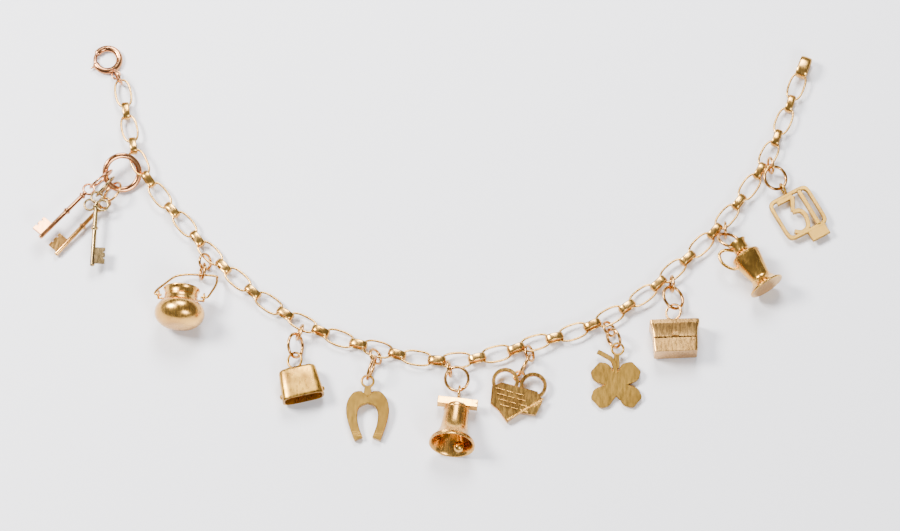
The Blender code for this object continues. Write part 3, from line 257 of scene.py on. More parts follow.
centres = long_link_centres()
tangents = [(centres[min(i + 1, LONG_LINKS - 1)] - centres[max(i - 1, 0)]).normalized()
            for i in range(LONG_LINKS)]
link_rows = []
for number, (centre, along) in enumerate(zip(centres, tangents)):
    twist = 0.0 if number == KEY_LINK else LINK_TWIST * math.sin(TWIST_STEP * number)
    across = Quaternion(along, twist) @ UP.cross(along).normalized()
    link_rows.append((centre, along, across, (1.0, 1.0, 1.0), 0.0))
joins = [(centres[i] + tangents[i] * LINK_REACH, centres[i + 1] - tangents[i + 1] * LINK_REACH,
          (1.0, 1.0, 1.0)) for i in range(LONG_LINKS - 1)]
joins.append((END_LINK_START, END_LINK_STOP, END_LINK_SCALE))
for start, stop, scale in joins:
    along = (stop - start).normalized()
    axis = along.cross(UP).normalized()
    link_rows.append(((start + stop) / 2, along, axis.cross(along), scale, 1.0))

points_mesh = bpy.data.meshes.new("chain_points")
points_mesh.from_pydata([tuple(row[0]) for row in link_rows], [], [])
for name, kind in (("turn", "FLOAT_VECTOR"), ("size", "FLOAT_VECTOR"), ("broad", "FLOAT")):
    points_mesh.attributes.new(name, kind, "POINT")
for i, (_, along, across, scale, broad) in enumerate(link_rows):
    basis = Matrix((along, across, along.cross(across))).transposed()
    points_mesh.attributes["turn"].data[i].vector = basis.to_euler()
    points_mesh.attributes["size"].data[i].vector = scale
    points_mesh.attributes["broad"].data[i].value = broad


def chain_tree():
    """Puts a long link or a broad link on each point, turned and sized by its attributes."""
    tree = bpy.data.node_groups.new("chain_links", "GeometryNodeTree")
    nodes, links = tree.nodes, tree.links
    sockets = tree.interface
    sockets.new_socket("Geometry", in_out="INPUT", socket_type="NodeSocketGeometry")
    for label in ("Long Length", "Long Width", "Long Wire", "Broad Length", "Broad Height",
                  "Broad Thickness", "Broad Band"):
        sockets.new_socket(label, in_out="INPUT", socket_type="NodeSocketFloat")
    sockets.new_socket("Metal", in_out="INPUT", socket_type="NodeSocketMaterial")
    sockets.new_socket("Geometry", in_out="OUTPUT", socket_type="NodeSocketGeometry")
    given, made = nodes.new("NodeGroupInput"), nodes.new("NodeGroupOutput")

    def number(operation, a, b=None):
        node = nodes.new("ShaderNodeMath")
        node.operation = operation
        for socket, value in zip(node.inputs, (a, b)):
            if isinstance(value, (int, float)):
                socket.default_value = value
            elif value is not None:
                links.new(value, socket)
        return node.outputs[0]

    def squared_circle(length, width, squareness, sides):
        circle = nodes.new("GeometryNodeCurvePrimitiveCircle")
        circle.inputs["Resolution"].default_value = sides
        circle.inputs["Radius"].default_value = 1.0
        where = nodes.new("GeometryNodeInputPosition")
        apart = nodes.new("ShaderNodeSeparateXYZ")
        links.new(where.outputs[0], apart.inputs[0])
        together = nodes.new("ShaderNodeCombineXYZ")
        for axis, size in enumerate((length, width)):
            grown = number("POWER", number("ABSOLUTE", apart.outputs[axis]), 2 / squareness)
            signed = number("MULTIPLY", grown, number("SIGN", apart.outputs[axis]))
            links.new(number("MULTIPLY", signed, number("MULTIPLY", size, 0.5)),
                      together.inputs[axis])
        shape = nodes.new("GeometryNodeSetPosition")
        links.new(circle.outputs[0], shape.inputs["Geometry"])
        links.new(together.outputs[0], shape.inputs["Position"])
        return shape.outputs[0]

    def swept(path, section):
        upright = nodes.new("GeometryNodeSetCurveNormal")
        upright.mode = "Z_UP"
        sweep = nodes.new("GeometryNodeCurveToMesh")
        links.new(path, upright.inputs[0])
        links.new(upright.outputs[0], sweep.inputs["Curve"])
        links.new(section, sweep.inputs["Profile Curve"])
        return sweep.outputs[0]

    value = given.outputs
    long_path = squared_circle(number("SUBTRACT", value["Long Length"], value["Long Wire"]),
                               number("SUBTRACT", value["Long Width"], value["Long Wire"]),
                               LINK_SQUARENESS, LONG_STEPS)
    long_link = swept(long_path, squared_circle(value["Long Wire"], value["Long Wire"], 2,
                                                LONG_SIDES))
    broad_path = squared_circle(
        number("SUBTRACT", value["Broad Length"], value["Broad Thickness"]),
        number("SUBTRACT", value["Broad Height"], value["Broad Thickness"]),
        LINK_SQUARENESS, BROAD_STEPS)
    broad_link = swept(broad_path, squared_circle(value["Broad Thickness"], value["Broad Band"],
                                                  BAND_SQUARENESS, BROAD_SIDES))
    made_links = nodes.new("GeometryNodeJoinGeometry")
    broad = nodes.new("GeometryNodeInputNamedAttribute")
    broad.inputs["Name"].default_value = "broad"
    turn = nodes.new("GeometryNodeInputNamedAttribute")
    turn.data_type = "FLOAT_VECTOR"
    turn.inputs["Name"].default_value = "turn"
    to_rotation = nodes.new("FunctionNodeEulerToRotation")
    links.new(turn.outputs[0], to_rotation.inputs[0])
    size = nodes.new("GeometryNodeInputNamedAttribute")
    size.data_type = "FLOAT_VECTOR"
    size.inputs["Name"].default_value = "size"
    for link, chosen in ((long_link, number("LESS_THAN", broad.outputs[0], 0.5)),
                         (broad_link, number("GREATER_THAN", broad.outputs[0], 0.5))):
        placed_links = nodes.new("GeometryNodeInstanceOnPoints")
        links.new(value["Geometry"], placed_links.inputs["Points"])
        links.new(chosen, placed_links.inputs["Selection"])
        links.new(link, placed_links.inputs["Instance"])
        links.new(to_rotation.outputs[0], placed_links.inputs["Rotation"])
        links.new(size.outputs[0], placed_links.inputs["Scale"])
        links.new(placed_links.outputs[0], made_links.inputs[0])
    real = nodes.new("GeometryNodeRealizeInstances")
    smooth = nodes.new("GeometryNodeSetShadeSmooth")
    metal = nodes.new("GeometryNodeSetMaterial")
    links.new(made_links.outputs[0], real.inputs[0])
    links.new(real.outputs[0], smooth.inputs[0])
    links.new(smooth.outputs[0], metal.inputs["Geometry"])
    links.new(value["Metal"], metal.inputs["Material"])
    links.new(metal.outputs[0], made.inputs[0])
    return tree


def in_scene(name, mesh):
    obj = bpy.data.objects.new(name, mesh)
    bpy.context.scene.collection.objects.link(obj)
    return obj


def plain_mesh(obj, name):
    """The object's evaluated shape as a plain mesh under a new name."""
    graph = bpy.context.evaluated_depsgraph_get()
    mesh = bpy.data.meshes.new_from_object(obj.evaluated_get(graph))
    bpy.data.objects.remove(obj)
    mesh.name = name
    return in_scene(name, mesh)


link_points = in_scene("chain_points", points_mesh)
links_modifier = link_points.modifiers.new("Links", "NODES")
links_modifier.node_group = chain_tree()
CHAIN_SIZES = {
    "Long Length": LONG_LENGTH, "Long Width": LONG_WIDTH, "Long Wire": LONG_WIRE,
    "Broad Length": SHORT_LENGTH, "Broad Height": SHORT_HEIGHT,
    "Broad Thickness": SHORT_THICKNESS, "Broad Band": SHORT_BAND, "Metal": chain_gold,
}
for item in links_modifier.node_group.interface.items_tree:
    if item.item_type == "SOCKET" and item.in_out == "INPUT" and item.name in CHAIN_SIZES:
        links_modifier[item.identifier] = CHAIN_SIZES[item.name]
gold_chain = plain_mesh(link_points, "gold_chain")


def settle(obj, node, body="bracelet"):
    """The finished piece stands for its CAD node and goes with its body."""
    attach(obj, body)
    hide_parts(node)


settle(gold_chain, "chain")


# Jump rings: short lengths of round wire bent into rings, one or two above each charm and one
# for each key and for the clasp. Their places are those of the CAD rings.
RING_SEGMENTS = 56
WIRE_SEGMENTS = 18
ring_gold = worn_gold("ring_gold", (0.72, 0.39, 0.11), (0.45, 0.21, 0.06), 0.15, 0.30)
rose_gold = worn_gold("rose_gold", (0.70, 0.33, 0.14), (0.42, 0.18, 0.08), 0.13, 0.27)
pale_gold = worn_gold("pale_gold", (0.50, 0.34, 0.13), (0.28, 0.18, 0.08), 0.18, 0.33)


def circle(sides):
    """Cosine and sine of even steps round a circle."""
    turns = [math.tau * k / sides for k in range(sides)]
    return [(math.cos(turn), math.sin(turn)) for turn in turns]


def round_section(radius, sides=WIRE_SEGMENTS):
    return [(radius * a, radius * b) for a, b in circle(sides)]


def skin(work, rows):
    """Faces between rows of points, where a row of a single point is a pole."""
    for here, after in zip(rows, rows[1:]):
        sides = max(len(here), len(after))
        for k in range(sides):
            m = (k + 1) % sides
            corners = [here[k % len(here)], here[m % len(here)], after[m % len(after)],
                       after[k % len(after)]]
            work.faces.new(list(dict.fromkeys(corners)))


def torus(work, centre, axis, radius, section, segments=RING_SEGMENTS):
    """A ring about an axis with a section of (out, along axis) pairs."""
    axis = axis.normalized()
    side = axis.orthogonal().normalized()
    rows = []
    for i in range(segments):
        out = Quaternion(axis, math.tau * i / segments) @ side
        rows.append([work.verts.new(centre + out * (radius + a) + axis * b) for a, b in section])
    skin(work, [*rows, rows[0]])


def finished(work, name, material, matrix=None, sharp=50.0):
    """Turns a bmesh into an object with outward faces, its metal and its place in its mesh."""
    bmesh.ops.recalc_face_normals(work, faces=work.faces)
    mesh = bpy.data.meshes.new(name)
    work.to_mesh(mesh)
    work.free()
    if matrix is not None:
        mesh.transform(matrix)
    mesh.materials.append(material)
    mesh.shade_smooth()
    mesh.set_sharp_from_angle(angle=math.radians(sharp))
    return in_scene(name, mesh)


def ring_place(node):
    """Middle, axis and radius of the ring that a CAD node holds."""
    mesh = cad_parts[node].data
    points = np.array([tuple(vertex.co) for vertex in mesh.vertices])
    points = np.unique(np.round(points, 7), axis=0)
    middle = points.mean(axis=0)
    axis = np.linalg.svd(points - middle)[2][2]
    flat = points - middle
    flat = flat - np.outer(flat @ axis, axis)
    return Vector(middle), Vector(axis), float(np.linalg.norm(flat, axis=1).mean())


RING_KINDS = {"_ring_1": 0.25 * MM, "_ring_2": 0.28 * MM, "_jump_ring": 0.22 * MM}
RING_METALS = {"clasp_jump_ring": (rose_gold, "rose_gold"),
               "key_a_jump_ring": (rose_gold, "rose_gold"),
               "key_c_jump_ring": (pale_gold, "pale_gold")}
for node in sorted(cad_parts):
    for ending, radius_of_wire in RING_KINDS.items():
        if node.endswith(ending):
            middle, axis, radius = ring_place(node)
            metal, slot = RING_METALS.get(node, (ring_gold, "yellow_gold"))
            work = bmesh.new()
            torus(work, middle, axis, radius, round_section(radius_of_wire))
            settle(finished(work, node + "_wire", metal), node)


# Bolt ring clasp: a rose gold tube bent round and open at its left side, where a sprung slide
# closes the gap. The slide has a thumb nub, and a flat eye is soldered on for the jump ring.
BOLT_CENTRE = Vector((-59.555, 36.877, 0.6)) * MM
BOLT_RADIUS = 2.23 * MM
BOLT_TUBE = 0.6 * MM
BOLT_SLIDE = 0.33 * MM
EYE_RADIUS = 0.62 * MM
EYE_WALL = 0.27 * MM
EYE_HEIGHT = 0.36 * MM
EYE_TURN = math.radians(299)
NUB_TURN = math.radians(210)
NUB_RADIUS = 0.2 * MM
NUB_STRETCH = 2.2
NUB_CLEARANCE = 0.02 * MM
TUBE_TURNS = (200, 510)
SLIDE_TURNS = (153, 222)


def bent_tube(work, turns, wire_radius, sides=24, steps=64):
    """A bar bent along an arc between two turns: wire_radius(share of the arc)."""
    rows = []
    for i in range(steps + 1):
        turn = math.radians(turns[0] + (turns[1] - turns[0]) * i / steps)
        out = Vector((math.cos(turn), math.sin(turn), 0.0))
        radius = wire_radius(i / steps)
        rows.append([work.verts.new(out * (BOLT_RADIUS + radius * a) + UP * radius * b)
                     for a, b in circle(sides)])
    skin(work, rows)
    work.faces.new(rows[0])
    work.faces.new(rows[-1])


def tube_radius(share):
    """The tube is drawn in a little at its two ends."""
    return BOLT_TUBE * (0.86 if min(share, 1 - share) < 0.008 else 1.0)


def slide_radius(share):
    return BOLT_SLIDE * (0.8 if share < 0.01 else 1.0)


work = bmesh.new()
bent_tube(work, TUBE_TURNS, tube_radius)
eye_reach = BOLT_RADIUS + BOLT_TUBE + EYE_RADIUS
eye_centre = Vector((math.cos(EYE_TURN), math.sin(EYE_TURN), 0.0)) * eye_reach
half, wall = EYE_HEIGHT / 2, EYE_WALL / 2
torus(work, eye_centre, UP, EYE_RADIUS + wall,
      [(-wall, -half * 0.7), (-wall, half * 0.7), (-wall * 0.6, half), (wall * 0.6, half),
       (wall, half * 0.7), (wall, -half * 0.7), (wall * 0.6, -half), (-wall * 0.6, -half)], 36)
bolt_ring = finished(work, "bolt_ring_tube", rose_gold, Matrix.Translation(BOLT_CENTRE))
settle(bolt_ring, "bolt_ring_body")

work = bmesh.new()
bent_tube(work, SLIDE_TURNS, slide_radius)
nub = bmesh.ops.create_uvsphere(work, u_segments=16, v_segments=10, radius=NUB_RADIUS)
nub_out = Vector((math.cos(NUB_TURN), math.sin(NUB_TURN), 0.0))
for vertex in nub["verts"]:
    stretched = vertex.co.dot(nub_out) * NUB_STRETCH
    vertex.co += nub_out * (stretched + BOLT_RADIUS + BOLT_TUBE + NUB_CLEARANCE)
slide = finished(work, "bolt_ring_slider", rose_gold, Matrix.Translation(BOLT_CENTRE))
settle(slide, "bolt_ring_slide", "bolt_slide")


# Key ring: a heavy flat-sided ring of rose gold that hangs from the third long link and
# carries the keys, cast and turned smooth.
KEY_RING_CENTRE = Vector((-56.225, 14.072, 2.09)) * MM
KEY_RING_AXIS = Vector((0.1854, -0.4144, 0.891))
KEY_RING_RADIUS = 3.1 * MM
KEY_RING_HALF_BAND = 0.525 * MM
KEY_RING_HALF_HEIGHT = 0.5 * MM
KEY_RING_SQUARENESS = 8 / 3


def squared(value, squareness):
    """Pushes a cosine or sine outwards, so that a circle turns square; 2 keeps it round."""
    return math.copysign(abs(value) ** (2 / squareness), value)


work = bmesh.new()
pillow = [(KEY_RING_HALF_BAND * squared(a, KEY_RING_SQUARENESS),
           KEY_RING_HALF_HEIGHT * squared(b, KEY_RING_SQUARENESS)) for a, b in circle(24)]
torus(work, KEY_RING_CENTRE, KEY_RING_AXIS, KEY_RING_RADIUS, pillow, 72)
key_ring = finished(work, "key_ring_band", rose_gold)
settle(key_ring, "key_ring")


# Keys: each a turned shaft with two collars, a ring or trefoil bow of round wire and a flat
# bit with wards cut into it, soldered together. Rose, yellow and pale gold.
KEY_LENGTH = 14.1 * MM
KEY_SHAFT = 0.42 * MM
KEY_BOW = 1.0 * MM
KEY_BOW_WIRE = 0.22 * MM
KEY_COLLAR = 5.9 * MM
KEY_BIT = 2.2 * MM
KEY_BIT_LENGTH = 3.0 * MM
KEY_BIT_THICKNESS = 0.6 * MM
KEY_WARD = 0.28 * MM
KEY_BEVEL = 0.05 * MM


def spin(work, profile, sides=40):
    """A turned body about Y from (radius, height) pairs that start and end on the axis."""
    rows = []
    for radius, height in profile:
        around = circle(sides) if radius > 0 else [(0.0, 0.0)]
        rows.append([work.verts.new((radius * a, height, radius * b)) for a, b in around])
    skin(work, rows)


def slab(work, outline, low, high, bevel):
    """A flat plate between two heights with bevelled edges, from its outline."""
    inner = shrunk(outline, bevel)
    rows = [[work.verts.new((x, y, height)) for x, y in points]
            for points, height in ((inner, low), (outline, low + bevel),
                                   (outline, high - bevel), (inner, high))]
    skin(work, rows)
    work.faces.new(rows[0][::-1])
    work.faces.new(rows[-1])


def shrunk(outline, inset):
    """The outline moved inwards by an even distance."""
    points = [Vector(point) for point in outline]
    area = sum(a.x * b.y - b.x * a.y for a, b in zip(points, points[1:] + points[:1]))
    result = []
    for i, point in enumerate(points):
        first = (point - points[i - 1]).normalized()
        second = (points[(i + 1) % len(points)] - point).normalized()
        normal = Vector((-first.y - second.y, first.x + second.x))
        length = max(normal.length, 0.6)
        normal = normal.normalized() * (2 / length) * math.copysign(1.0, area)
        result.append(tuple(point + normal * inset))
    return result


def placed(x, y, z, heading, tilt=0.0):
    """The place of a piece whose loop is at its origin and which hangs down along -Y."""
    return (Matrix.Translation(Vector((x, y, z)) * MM)
            @ Matrix.Rotation(math.radians(heading + 90), 4, "Z")
            @ Matrix.Rotation(math.radians(-tilt), 4, "X"))


KEY_ROWS = {
    "key_a": (placed(-62.167, 10.765, 2.24, -130.7, 5.8), -1, False, rose_gold, "rose_gold"),
    "key_b": (placed(-59.296, 8.409, 1.49, -131.6, -2.8), -1, False, ring_gold, "yellow_gold"),
    "key_c": (placed(-60.636, 8.986, 2.82, -92.5, -2.5), 1, True, pale_gold, "pale_gold"),
}
for node, (place, side, trefoil, metal, slot) in KEY_ROWS.items():
    work = bmesh.new()
    tip, neck, s = -(KEY_LENGTH - KEY_BOW), -KEY_BOW, KEY_SHAFT
    spin(work, [
        (0.0, tip), (0.7 * s, tip), (0.9 * s, tip + 0.2 * s), (s, tip + 0.5 * s),
        (s, -KEY_COLLAR - s), (1.2 * s, -KEY_COLLAR - 0.8 * s), (1.35 * s, -KEY_COLLAR - 0.4 * s),
        (1.6 * s, -KEY_COLLAR - 0.2 * s), (1.6 * s, -KEY_COLLAR + 0.2 * s),
        (1.3 * s, -KEY_COLLAR + 0.4 * s), (1.15 * s, -KEY_COLLAR + 0.8 * s),
        (s, -KEY_COLLAR + s), (0.9 * s, neck - 1.1 * KEY_BOW), (1.3 * s, neck - 0.95 * KEY_BOW),
        (1.5 * s, neck - 0.8 * KEY_BOW), (1.5 * s, neck - 0.65 * KEY_BOW),
        (1.1 * s, neck - 0.5 * KEY_BOW), (0.9 * s, neck - 0.4 * KEY_BOW),
        (s, neck), (0.8 * s, neck + KEY_BOW_WIRE), (0.0, neck + KEY_BOW_WIRE)])
    bit_low = tip + 1.2 * s
    ward = KEY_BIT - KEY_WARD
    corners = [(0.0, 0.0), (KEY_BIT, 0.0), (KEY_BIT, 0.3), (ward, 0.3), (ward, 0.42),
               (KEY_BIT, 0.42), (KEY_BIT, 0.68), (ward, 0.68), (ward, 0.8), (KEY_BIT, 0.8),
               (KEY_BIT, 1.0), (0.0, 1.0)]
    outline = [(side * x, bit_low + share * KEY_BIT_LENGTH) for x, share in corners]
    slab(work, outline, -KEY_BIT_THICKNESS / 2, KEY_BIT_THICKNESS / 2, KEY_BEVEL)
    bows = [(0.0, 0.0)]
    if trefoil:
        bows += [(-1.15 * KEY_BOW, -1.5 * KEY_BOW), (1.15 * KEY_BOW, -1.5 * KEY_BOW)]
    for x, y in bows:
        torus(work, Vector((x, y, 0.0)), UP, KEY_BOW, round_section(KEY_BOW_WIRE), 40)
    settle(finished(work, node + "_turned", metal, place, 35.0), node)


# Cooking pot: spun yellow gold, polished, with a collar and rolled rim, an open mouth and an
# ear on each side. Its wire bail hooks through the ears and is pulled over to one side.
LATHE_SIDES = 72
POT_PLACE = placed(-44.933, -10.611, 4.283, -94)
POT_RADIUS = 4.5 * MM
POT_BELLY_HEIGHT = 5.0 * MM
POT_NECK = 3.0 * MM
POT_NECK_HEIGHT = 2.2 * MM
POT_WALL = 0.5 * MM
POT_RIM_RISE = 1.4 * MM
POT_EAR = 0.65 * MM
POT_EAR_WIRE = 0.2 * MM
POT_EAR_SPAN = 8.2 * MM
BAIL_WIRE = 0.22 * MM
BAIL_SLOPE = 0.5
polished_gold = worn_gold("polished_gold", (0.78, 0.43, 0.10), (0.52, 0.26, 0.06), 0.17, 0.34)
rim = POT_RIM_RISE
neck = rim - POT_NECK_HEIGHT
base = neck - POT_BELLY_HEIGHT


def pot_belly(share):
    return POT_RADIUS * math.sqrt(max(0.0, 1 - abs((share - 0.5) * 1.7) ** 2.1))


profile = [(0.0, base), (0.3 * POT_RADIUS, base - 0.05 * MM), (0.45 * POT_RADIUS, base)]
profile += [(pot_belly(k / 24), base + k / 24 * POT_BELLY_HEIGHT) for k in range(1, 23)]
profile += [
    (POT_NECK * 1.04, neck + 0.05 * MM), (POT_NECK, neck + 0.25 * MM),
    (POT_NECK, neck + 0.55 * MM), (POT_NECK * 0.965, neck + 0.62 * MM),
    (POT_NECK * 0.965, neck + 0.75 * MM), (POT_NECK, neck + 0.82 * MM),
    (POT_NECK, rim - 0.75 * MM), (POT_NECK * 1.05, rim - 0.5 * MM),
    (POT_NECK * 1.1, rim - 0.3 * MM),
    (POT_NECK * 1.1, rim - 0.12 * MM), (POT_NECK * 1.06, rim), (POT_NECK * 0.98, rim),
    (POT_NECK - POT_WALL, rim - 0.15 * MM), (POT_NECK - POT_WALL, neck)]
profile += [(pot_belly(k / 12) - POT_WALL, base + k / 12 * POT_BELLY_HEIGHT)
            for k in range(10, 2, -1)]
profile += [(0.35 * POT_RADIUS, base + 1.5 * POT_WALL), (0.0, base + 1.5 * POT_WALL)]
work = bmesh.new()
spin(work, profile, LATHE_SIDES)


def wire(work, points, radius, sides=14, steps=6):
    """A round wire on a smooth curve through points, with flat ends."""
    path = smooth_line([Vector(point) for point in points], steps)
    normal = (path[1] - path[0]).orthogonal().normalized()
    rows = []
    last = len(path) - 1
    for i, point in enumerate(path):
        tangent = (path[min(i + 1, last)] - path[max(i - 1, 0)]).normalized()
        normal = (normal - tangent * normal.dot(tangent)).normalized()
        binormal = tangent.cross(normal)
        rows.append([work.verts.new(point + (normal * a + binormal * b) * radius)
                     for a, b in circle(sides)])
    skin(work, rows)
    work.faces.new(rows[0])
    work.faces.new(rows[-1])


for side in (-1, 1):
    ear = Vector((side * POT_EAR_SPAN / 2, 0.0, 0.0))
    torus(work, ear, ACROSS, POT_EAR, round_section(POT_EAR_WIRE, 12), 32)
    wire(work, [(side * (POT_NECK - POT_WALL / 2), -POT_EAR, 0.0),
                (ear.x * 0.9, -POT_EAR, 0.0), (ear.x, -POT_EAR, 0.0)], POT_EAR_WIRE)
pot = finished(work, "pot_spun", polished_gold, POT_PLACE, 32.0)
settle(pot, "pot_body", "pot")

BAIL_LINE = [(-3.5, 0.0), (-4.1, 0.0), (-4.75, 0.2), (-4.4, 1.2), (-3.2, 2.7), (-1.8, 4.3),
             (-0.4, 4.95), (1.6, 5.2), (5.5, 5.2), (5.95, 4.5), (5.9, 3.1), (5.3, 1.4),
             (4.75, 0.2), (4.1, 0.0), (3.5, 0.0)]
work = bmesh.new()
wire(work, [(x * MM, y * MM, -BAIL_SLOPE * y * MM) for x, y in BAIL_LINE], BAIL_WIRE)
bail = finished(work, "pot_bail_wire", polished_gold, POT_PLACE)
settle(bail, "pot_bail")


# Cowbell: raised from sheet and worn, with rounded corners, an open mouth, a stud on each side
# and a wire loop on top. Old yellow gold with darker patches.
COWBELL_PLACE = placed(-24.52, -22.036, 2.0, -77)
COWBELL_LOOP = 1.4 * MM
COWBELL_TOP = 6.8 * MM
COWBELL_MOUTH = 7.6 * MM
COWBELL_HEIGHT = 6.0 * MM
COWBELL_DEPTH = 4.0 * MM
COWBELL_WALL = 0.45 * MM
COWBELL_SQUARENESS = 4
COWBELL_STUD = 0.5 * MM
STUD_INSET = 0.18 * MM
STUD_DROP = 0.82
LOOP_WIRE = 0.22 * MM
LEANING_AXIS = Vector((-0.5, 0.0, 0.87))
old_gold = worn_gold("old_gold", (0.62, 0.34, 0.06), (0.30, 0.15, 0.03), 0.22, 0.42, 0.2, 420.0)


def tapered(work, sections, squareness, sides=64):
    """A body through (half width, half depth, y) sections with rounded corners."""
    rows = []
    for half_width, half_depth, y in sections:
        around = circle(sides) if half_width > 0 else [(0.0, 0.0)]
        rows.append([work.verts.new((half_width * squared(a, squareness), y,
                                     half_depth * squared(b, squareness))) for a, b in around])
    skin(work, rows)


def hanging_loop(work, radius, axis=UP, segments=44):
    """The wire loop at a charm's origin, which its lower jump ring goes through."""
    torus(work, ORIGIN, axis, radius, round_section(LOOP_WIRE), segments)


top, t, m, w = -COWBELL_LOOP, COWBELL_TOP / 2, COWBELL_MOUTH / 2, COWBELL_WALL
halves = [(0.0, 0.0), (0.6 * t, 0.1 * MM), (t - w, 0.25 * MM), (t - 0.15 * MM, 0.45 * MM),
          (t, 0.8 * MM), (t + 0.35 * (m - t), 2.6 * MM),
          (m - 0.02 * MM, COWBELL_HEIGHT - 0.5 * MM), (m, COWBELL_HEIGHT - 0.1 * MM),
          (m - 0.1 * MM, COWBELL_HEIGHT), (m - w + 0.05 * MM, COWBELL_HEIGHT),
          (m - w, COWBELL_HEIGHT - 0.15 * MM), (t - w, 0.8 * MM + w), (0.6 * t, 0.4 * MM + w),
          (0.0, 0.3 * MM + w)]
work = bmesh.new()
tapered(work, [(half, half * COWBELL_DEPTH / COWBELL_MOUTH, top - drop) for half, drop in halves],
        COWBELL_SQUARENESS)
hanging_loop(work, COWBELL_LOOP, LEANING_AXIS, 48)
for side in (-1, 1):
    stud = bmesh.ops.create_uvsphere(work, u_segments=20, v_segments=12, radius=COWBELL_STUD)
    bmesh.ops.translate(work, verts=stud["verts"],
                        vec=(side * (m - STUD_INSET), top - COWBELL_HEIGHT * STUD_DROP, 0.0))
settle(finished(work, "cowbell_sheet", old_gold, COWBELL_PLACE, 45.0), "cowbell")


# Horseshoe: sawn from thick satin sheet with its edges softened, a tab at the toe that carries
# the loop, and three fine bands across each heel.
HORSESHOE_PLACE = placed(-11.45, -25.806, 1.556, -90, -5)
HORSESHOE_THICKNESS = 1.2 * MM
HORSESHOE_BEVEL = 0.12 * MM
HEEL_BAND = 0.75 * MM
HEEL_BAND_WIRE = 0.05 * MM
TAB_BEVEL = 0.05 * MM
FLAT_LOOP = 1.05 * MM
satin_gold = worn_gold("satin_gold", (0.56, 0.32, 0.06), (0.46, 0.25, 0.045), 0.28, 0.42, 0.15)
HORSESHOE_HALF = [(1.1, -1.9), (2.4, -2.1), (3.5, -3.5), (3.85, -5.3), (3.6, -7.1),
                  (3.0, -9.1), (2.3, -11.0), (0.85, -10.4), (1.6, -8.3), (1.85, -6.3),
                  (1.4, -4.8)]


def flowing(points, steps=5, keep=()):
    """More points on a smooth line through the given ones; the numbers in keep stay corners."""
    result = []
    last = len(points) - 1
    for i in range(last):
        b, c = Vector(points[i]), Vector(points[i + 1])
        a = b if i == 0 or i in keep else Vector(points[i - 1])
        d = c if i + 1 == last or i + 1 in keep else Vector(points[i + 2])
        result += [tuple(between(a, b, c, d, step / steps)) for step in range(steps)]
    return [*result, tuple(points[-1])]


half = flowing([(0.0, -2.95), *HORSESHOE_HALF, (0.0, -4.15)], 5, (1, 7, 8))
outline = [(x * MM, y * MM) for x, y in half[::-1]]
outline += [(-x * MM, y * MM) for x, y in half[1:-1]]
work = bmesh.new()
face = HORSESHOE_THICKNESS / 2
slab(work, outline, -face, face, HORSESHOE_BEVEL)
hanging_loop(work, FLAT_LOOP)
slab(work, [(-0.8 * MM, -3.2 * MM), (0.8 * MM, -3.2 * MM), (0.55 * MM, -0.95 * MM),
            (-0.55 * MM, -0.95 * MM)], -LOOP_WIRE, LOOP_WIRE, TAB_BEVEL)
for side in (-1, 1):
    for row in range(3):
        y = (-9.5 - 0.3 * row) * MM
        x = side * (2.02 - 0.1 * row) * MM
        lean = side * 0.05 * MM
        wire(work, [(x - HEEL_BAND, y - lean, face), (x, y, face), (x + HEEL_BAND, y + lean, face)],
             HEEL_BAND_WIRE, 8, 2)
settle(finished(work, "horseshoe_sawn", satin_gold, HORSESHOE_PLACE, 35.0), "horseshoe")


# Bell: turned with a flared, beaded mouth. A square yoke bar, split at one end, is soldered
# across the crown with a loop on it, and a ball clapper hangs on a stem inside.
BELL_PLACE = placed(4.861, -28.105, 1.499, -97, 13)
BELL_LOOP = 1.3 * MM
BELL_WAIST = 2.15 * MM
BELL_HEIGHT = 8.2 * MM
BELL_BEAD = 0.07 * MM
BELL_YOKE = 1.4 * MM
BELL_YOKE_LENGTH = 7.2 * MM
YOKE_SPLIT = 0.5 * MM
SOFT_EDGE = 0.08 * MM
crown = -BELL_LOOP - BELL_YOKE
outer = flowing([(0.0, 0.0), (0.8, 0.0), (1.0, 0.06), (1.05, 0.3), (1.13, 0.55), (1.3, 0.7),
                 (1.56, 0.82), (1.8, 0.92), (1.9, 0.97), (1.905, 0.995)], 4, (1, 2))
inner = flowing([(1.87, 1.0), (1.7, 0.97), (1.36, 0.8), (1.0, 0.62), (0.88, 0.5), (0.8, 0.12),
                 (0.0, 0.055)], 4, (5,))
profile = [(a * BELL_WAIST, crown - b * BELL_HEIGHT) for a, b in outer + inner]
work = bmesh.new()
spin(work, profile, LATHE_SIDES)
for level, reach in ((0.945, 1.86), (0.905, 1.79), (0.12, 1.03)):
    torus(work, ALONG * (crown - level * BELL_HEIGHT), ALONG, reach * BELL_WAIST,
          round_section(BELL_BEAD, 8), LATHE_SIDES)
half = BELL_YOKE / 2
bar = BELL_YOKE_LENGTH / 2
slab(work, [(-bar, crown - 0.1 * MM), (bar, crown - 0.1 * MM), (bar, crown + 0.35 * BELL_YOKE),
            (bar - YOKE_SPLIT, crown + 0.5 * BELL_YOKE), (bar, crown + 0.65 * BELL_YOKE),
            (bar, crown + BELL_YOKE), (-bar, crown + BELL_YOKE)], -half, half, SOFT_EDGE)
hanging_loop(work, BELL_LOOP, ACROSS)
settle(finished(work, "bell_turned", polished_gold, BELL_PLACE, 35.0), "bell_body")

